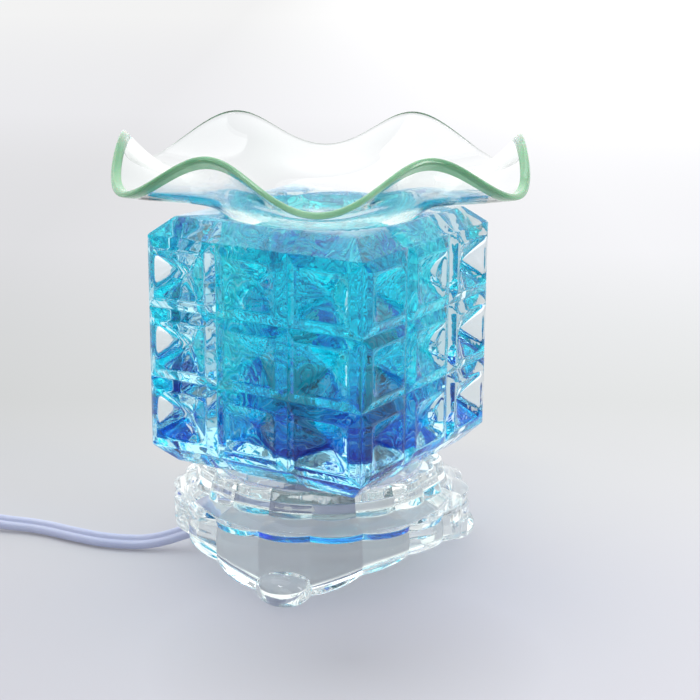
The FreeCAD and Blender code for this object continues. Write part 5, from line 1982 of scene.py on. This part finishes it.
class Plug:
    """The moulded two-blade plug with a ribbed boot and grip."""

    BLADES = (("plug_blades", "blade", "contact_brass", 0.15, Body.ROOT),)

    def __init__(self, sizes: PlugSizes, lead: LeadSizes) -> None:
        """Keeps the sizes and where the lead ends."""
        self.sizes = sizes
        self.lead = lead

    def ribs(self, count: int, steps: int) -> list[tuple[float, float]]:
        """Shares of the way along a row of ribs, and how deep the surface lies there.

        Args:
            count: Number of ribs.
            steps: Points on each of them.

        Returns:
            Share of the way and share of the depth of each point.
        """
        shape = self.sizes.rib_shape
        shares = np.linspace(0.0, 1.0, count * steps + 1)
        return [(t, max(0.0, math.sin(2 * math.pi * count * t)) ** shape) for t in shares]

    def stations(self) -> list[tuple[float, float, float, float]]:
        """Place, half width, half height and squareness along the axis.

        Returns:
            One row per station, from the boot's tip.
        """
        s = self.sizes
        tip = s.boot_tip - s.boot_edge
        rows = [(0.0, tip, tip, s.round_shape)]
        for t, rib in self.ribs(s.boot_ribs, s.boot_steps):
            radius = s.boot_tip + (s.boot_root - s.boot_tip) * t - s.rib_depth * rib
            along = s.boot_edge + (s.boot - 2 * s.boot_edge) * t
            rows.append((along, radius, radius, s.round_shape))
        rows += [(s.boot + row[0], *row[1:]) for row in s.shoulder]
        for t, rib in self.ribs(s.grip_ribs, s.grip_steps):
            along = s.boot + s.grip_from + s.grip_length * t
            rows.append((along, s.grip_half - s.grip_depth * rib, *s.shoulder[-1][2:]))
        rows += [(s.boot + row[0], *row[1:]) for row in s.front]
        return rows

    def build(self) -> Piece:
        """The body as one skin along its axis.

        Returns:
            The body.
        """
        columns = self.sizes.columns
        angles = np.arange(columns) * (2 * math.pi / columns)
        across, over = np.cos(angles), np.sin(angles)
        heading = np.array(self.lead.heading)
        side = np.array((heading[1], -heading[0], 0.0))
        up = np.array((0.0, 0.0, 1.0))
        start = np.array(self.lead.coil_end) + heading * self.lead.tail[-1]
        rings = []
        for along, wide, high, power in self.stations():
            x = wide * np.sign(across) * np.abs(across) ** (2 / power)
            y = high * np.sign(over) * np.abs(over) ** (2 / power)
            rings.append(start + heading * along + x[:, None] * side + y[:, None] * up)
        return skin("plug_grip", rings)

    def dress(self, palette: Palette) -> list[Piece]:
        """Builds and hands over the body and blades.

        Args:
            palette: The materials.

        Returns:
            The body and the blades.
        """
        body = self.build()
        place(body, Body.ROOT, ["plug_body"], SHARP.plug, palette.get("plug"))
        return [body] + copy_nodes(self.BLADES, palette, SHARP.moulded)


class Dimmer:
    """The inline dimmer: case, screws, grommets, wheel and what is inside."""

    COPIES = (
        ("dimmer_lower_case", "case", "dimmer_abs", 0.0, Body.ROOT),
        ("dimmer_upper_case", "case", "dimmer_abs", 0.0, Body.ROOT),
        ("dimmer_screws", "zinc", "zinc_steel", 0.1, Body.ROOT),
        ("dimmer_grommets", "outlet", "outlet_pvc", 0.0, Body.ROOT),
        ("dimmer_wheel", "wheel", "wheel_abs", 0.0, Body.WHEEL),
        ("dimmer_shaft", "wheel", "wheel_abs", 0.1, Body.WHEEL),
        ("dimmer_pot", "epoxy", "component_epoxy", 0.15, Body.ROOT),
        ("dimmer_board", "board", "board_laminate", 0.0, Body.ROOT),
        ("dimmer_triac", "epoxy", "component_epoxy", 0.1, Body.ROOT),
        ("dimmer_capacitor", "epoxy", "component_epoxy", 0.1, Body.ROOT),
        ("dimmer_terminals", "terminal", "terminal_nylon", 0.1, Body.ROOT),
        ("dimmer_cores", "core", "core_pvc", 0.0, Body.ROOT),
    )

    def dress(self, palette: Palette) -> list[Piece]:
        """Builds and hands over every piece of the dimmer."""
        return copy_nodes(self.COPIES, palette, SHARP.moulded)


class Outlet:
    """The moulded side outlet under the base, and the strap round the coil."""

    COPIES = (
        ("cord_outlet", "outlet", "outlet_pvc", 0.2, Body.ROOT),
        ("coil_tie", "tie", "tie_nylon", 0.15, Body.ROOT),
    )

    def dress(self, palette: Palette) -> Piece:
        """Builds and hands over both, and returns the strap."""
        return copy_nodes(self.COPIES, palette, SHARP.moulded)[1]


@dataclass(frozen=True)
class FloorFinish:
    """Pale lavender paper, painted darker near the object and fading to white far behind it, with
    painted shade to the left and a painted shadow in front of the base.

    Args:
        name: Name of the material.
        ramp: Where the ramp starts and ends, in metres towards the back.
        stops: Place on the ramp and colour, from front to back; the darker front is painted shade.
        sides: The two places to the left and right, in metres, and the brightness there: painted
            shade, darker to the left.
        painted_shadow_at: Middle of the painted shadow in front of the base, in metres.
        patch: Radius of the painted shadow in metres, and brightness at its middle.
        dim: Brightness of the lit paper beside that of its own light.
        fade: Two distances from the middle, in metres, and the share of own light there.
    """

    name: str = "studio_floor"
    ramp: tuple[float, float] = (-0.3, 2.7)
    # Painted shade: the paper is painted darker near the object and lighter towards the back
    stops: Stops = (
        (0.0, "#CDCBD2"), (0.087, "#CDCCD1"), (0.124, "#D0D0D1"), (0.159, "#CECFCE"),
        (0.202, "#D6D7D7"), (0.27, "#E4E4E6"), (0.5, "#F6F6F9"), (1.0, "#FFFFFF"),
    )
    # Painted shade: the paper is painted darker to the left than to the right
    sides: tuple[float, ...] = (-0.2, 0.2, 0.9, 1.14)
    # Painted shadow: a darker round patch painted on the paper in front of the base
    painted_shadow_at: Point = (0.01, -0.085, 0.0)
    patch: tuple[float, float] = (0.06, 0.76)
    dim: float = 0.99
    fade: tuple[float, ...] = (0.15, 0.9, 0.12, 0.97)

    def build(self) -> Material:
        """The finished material.

        Returns:
            The material.
        """
        material, tree, spot = new_material(self.name)
        xyz = add_node(tree, "ShaderNodeSeparateXYZ", (spot,)).outputs
        deep = add_node(tree, "ShaderNodeMapRange", (xyz[1], *self.ramp, 0.0, 1.0))
        paper = add_node(tree, "ShaderNodeValToRGB", (deep,), self.stops)
        # Painted shade darker to the left, times a painted shadow in front of the base
        side = add_node(tree, "ShaderNodeMapRange", (xyz[0], *self.sides))
        ahead = add_node(tree, "ShaderNodeVectorMath", (spot, self.painted_shadow_at), operation="DISTANCE")
        ends = (ahead.outputs["Value"], 0.0, *self.patch, 1.0)
        patch = add_node(tree, "ShaderNodeMapRange", ends)
        light = add_node(tree, "ShaderNodeMath", (side, patch), operation="MULTIPLY")
        inputs = {0: paper, "Scale": light}
        shade = add_node(tree, "ShaderNodeVectorMath", inputs, operation="SCALE")
        inputs = {0: shade, "Scale": self.dim}
        dimmed = add_node(tree, "ShaderNodeVectorMath", inputs, operation="SCALE")
        lit = add_node(tree, "ShaderNodeBsdfDiffuse", (dimmed,))
        glow = add_node(tree, "ShaderNodeEmission", (shade, 1.0))
        away = add_node(tree, "ShaderNodeVectorMath", (spot,), operation="LENGTH")
        share = add_node(tree, "ShaderNodeMapRange", (away.outputs["Value"], *self.fade))
        shader = add_node(tree, "ShaderNodeMixShader", (share, lit, glow))
        add_node(tree, "ShaderNodeOutputMaterial", {"Surface": shader})
        return material


@dataclass(frozen=True)
class Surroundings:
    """White behind and above, grey towards the camera, with darker sides for the glass edges.

    Args:
        stops: Place from the front to the back, and colour.
        flags: Two places to either side, and the brightness there.
        top: The same for two heights.
        back: The same for two depths.
    """

    stops: Stops = ((0.0, "#787C84"), (0.3, "#B0B3B8"), (0.55, "#F4F4F6"), (0.75, "#FFFFFF"))
    flags: tuple[float, ...] = (0.72, 0.93, 1.0, 0.35)
    top: tuple[float, ...] = (0.3, 0.7, 1.0, 1.25)
    back: tuple[float, ...] = (0.2, 0.8, 1.0, 1.25)

    def build(self) -> bpy.types.World:
        """The finished world.

        Returns:
            The world.
        """
        world = bpy.data.worlds.new("studio")
        world.use_nodes = True
        tree = world.node_tree
        tree.nodes.clear()
        spot = add_node(tree, "ShaderNodeTexCoord").outputs["Generated"]
        xyz = add_node(tree, "ShaderNodeSeparateXYZ", (spot,)).outputs
        depth = add_node(tree, "ShaderNodeMapRange", (xyz[1], -1.0, 1.0, 0.0, 1.0))
        light = add_node(tree, "ShaderNodeValToRGB", (depth,), self.stops)
        wide = add_node(tree, "ShaderNodeMath", (xyz[0],), operation="ABSOLUTE")
        power = add_node(tree, "ShaderNodeMapRange", (wide, *self.flags))
        for way, ends in ((xyz[2], self.top), (xyz[1], self.back)):
            more = add_node(tree, "ShaderNodeMapRange", (way, *ends))
            power = add_node(tree, "ShaderNodeMath", (power, more), operation="MULTIPLY")
        shader = add_node(tree, "ShaderNodeBackground", (light, power))
        add_node(tree, "ShaderNodeOutputWorld", {"Surface": shader})
        return world


@dataclass(frozen=True)
class StudioSizes:
    """The photograph's camera, the floor, the lamps and the light's bounces."""

    lens: float = 86.41
    sensor: float = 36.0
    location: Point = (0.00948, -0.53708, 0.21469)
    down: float = 14.99
    roll: float = 0.41
    floor_reach: float = 8000.0
    floor_z: float = -0.05
    # Name, place, width and height in metres, and power in watts of each soft box
    boxes: tuple[tuple[str, Point, tuple[float, float], float], ...] = (
        ("top_box", (-0.2, 0.1, 1.3), (1.2, 1.2), 5.0),
        ("right_strip", (0.6, -0.35, 0.45), (0.14, 0.4), 0.8),
        ("left_window", (-0.35, -0.6, 1.0), (0.3, 0.15), 1.6),
    )
    aim: Point = (0.0, 0.0, 0.08)
    # Light crosses many walls of glass before it leaves the block
    bounces: int = 48
    glass_bounces: int = 32


class Studio:
    """Camera, floor, surroundings and lamps."""

    def __init__(self, sizes: StudioSizes) -> None:
        """Keeps the settings."""
        self.sizes = sizes

    def add_camera(self) -> None:
        """Places the camera where the photograph was taken from."""
        s = self.sizes
        data = bpy.data.cameras.new("camera")
        data.lens = s.lens
        data.sensor_width = s.sensor
        data.dof.use_dof = False
        down = math.radians(s.down)
        roll = math.radians(s.roll)
        back = Vector((0.0, -math.cos(down), math.sin(down)))
        side = Vector((1.0, 0.0, 0.0))
        over = back.cross(side)
        right = side * math.cos(roll) + over * math.sin(roll)
        top = over * math.cos(roll) - side * math.sin(roll)
        obj = add_object("camera", data)
        matrix = Matrix((right, top, back)).transposed().to_4x4()
        matrix.translation = Vector(s.location)
        obj.matrix_world = matrix
        bpy.context.scene.camera = obj

    def add_floor(self) -> None:
        """A wide plain floor."""
        reach = self.sizes.floor_reach
        ways = ((-1, -1), (1, -1), (1, 1), (-1, 1))
        corners = np.array([(x * reach, y * reach, self.sizes.floor_z) for x, y in ways])
        floor = mesh_piece("floor", corners, [(0, 1, 2, 3)])
        floor.data.materials.append(FloorFinish().build())

    def add_lamp(self, name: str, spot: Point, size: tuple[float, float], power: float) -> None:
        """One soft box, aimed at the middle of the block.

        Args:
            name: Name of the lamp.
            spot: Where it hangs, in metres.
            size: Its width and height in metres.
            power: Its power in watts.
        """
        data = bpy.data.lights.new(name, "AREA")
        data.shape = "RECTANGLE"
        data.size, data.size_y = size
        data.energy = power
        obj = add_object(name, data)
        obj.location = spot
        obj.rotation_mode = "QUATERNION"
        aim = Vector(self.sizes.aim) - Vector(spot)
        obj.rotation_quaternion = aim.to_track_quat("-Z", "Y")

    def dress(self) -> None:
        """Sets the whole studio up."""
        self.add_camera()
        self.add_floor()
        bpy.context.scene.world = Surroundings().build()
        for box in self.sizes.boxes:
            self.add_lamp(*box)
        bpy.context.scene.view_settings.view_transform = "Standard"
        cycles = bpy.context.scene.cycles
        cycles.max_bounces = self.sizes.bounces
        for kind in ("glossy_bounces", "transmission_bounces", "transparent_max_bounces"):
            setattr(cycles, kind, self.sizes.glass_bounces)


def main() -> None:
    """Builds the warmer and its studio."""
    logging.basicConfig(level=logging.INFO, format="%(message)s")
    palette = Palette(Finishes())
    GlassDish(DishSizes()).dress(palette)
    GlassBlock(BlockSizes()).dress(palette)
    GlassBase(BaseSizes()).dress(palette)
    Clamp(ClampSizes()).dress(palette)
    LampHolder(FilamentSizes()).dress(palette)
    strap = Outlet().dress(palette)
    dimmer = Dimmer().dress(palette)
    lead = LeadSizes()
    plug = Plug(PlugSizes(), lead).dress(palette)
    Lead(lead).dress(palette, dimmer, [strap] + plug)
    Studio(StudioSizes()).dress()


if __name__ == "__main__":
    main()
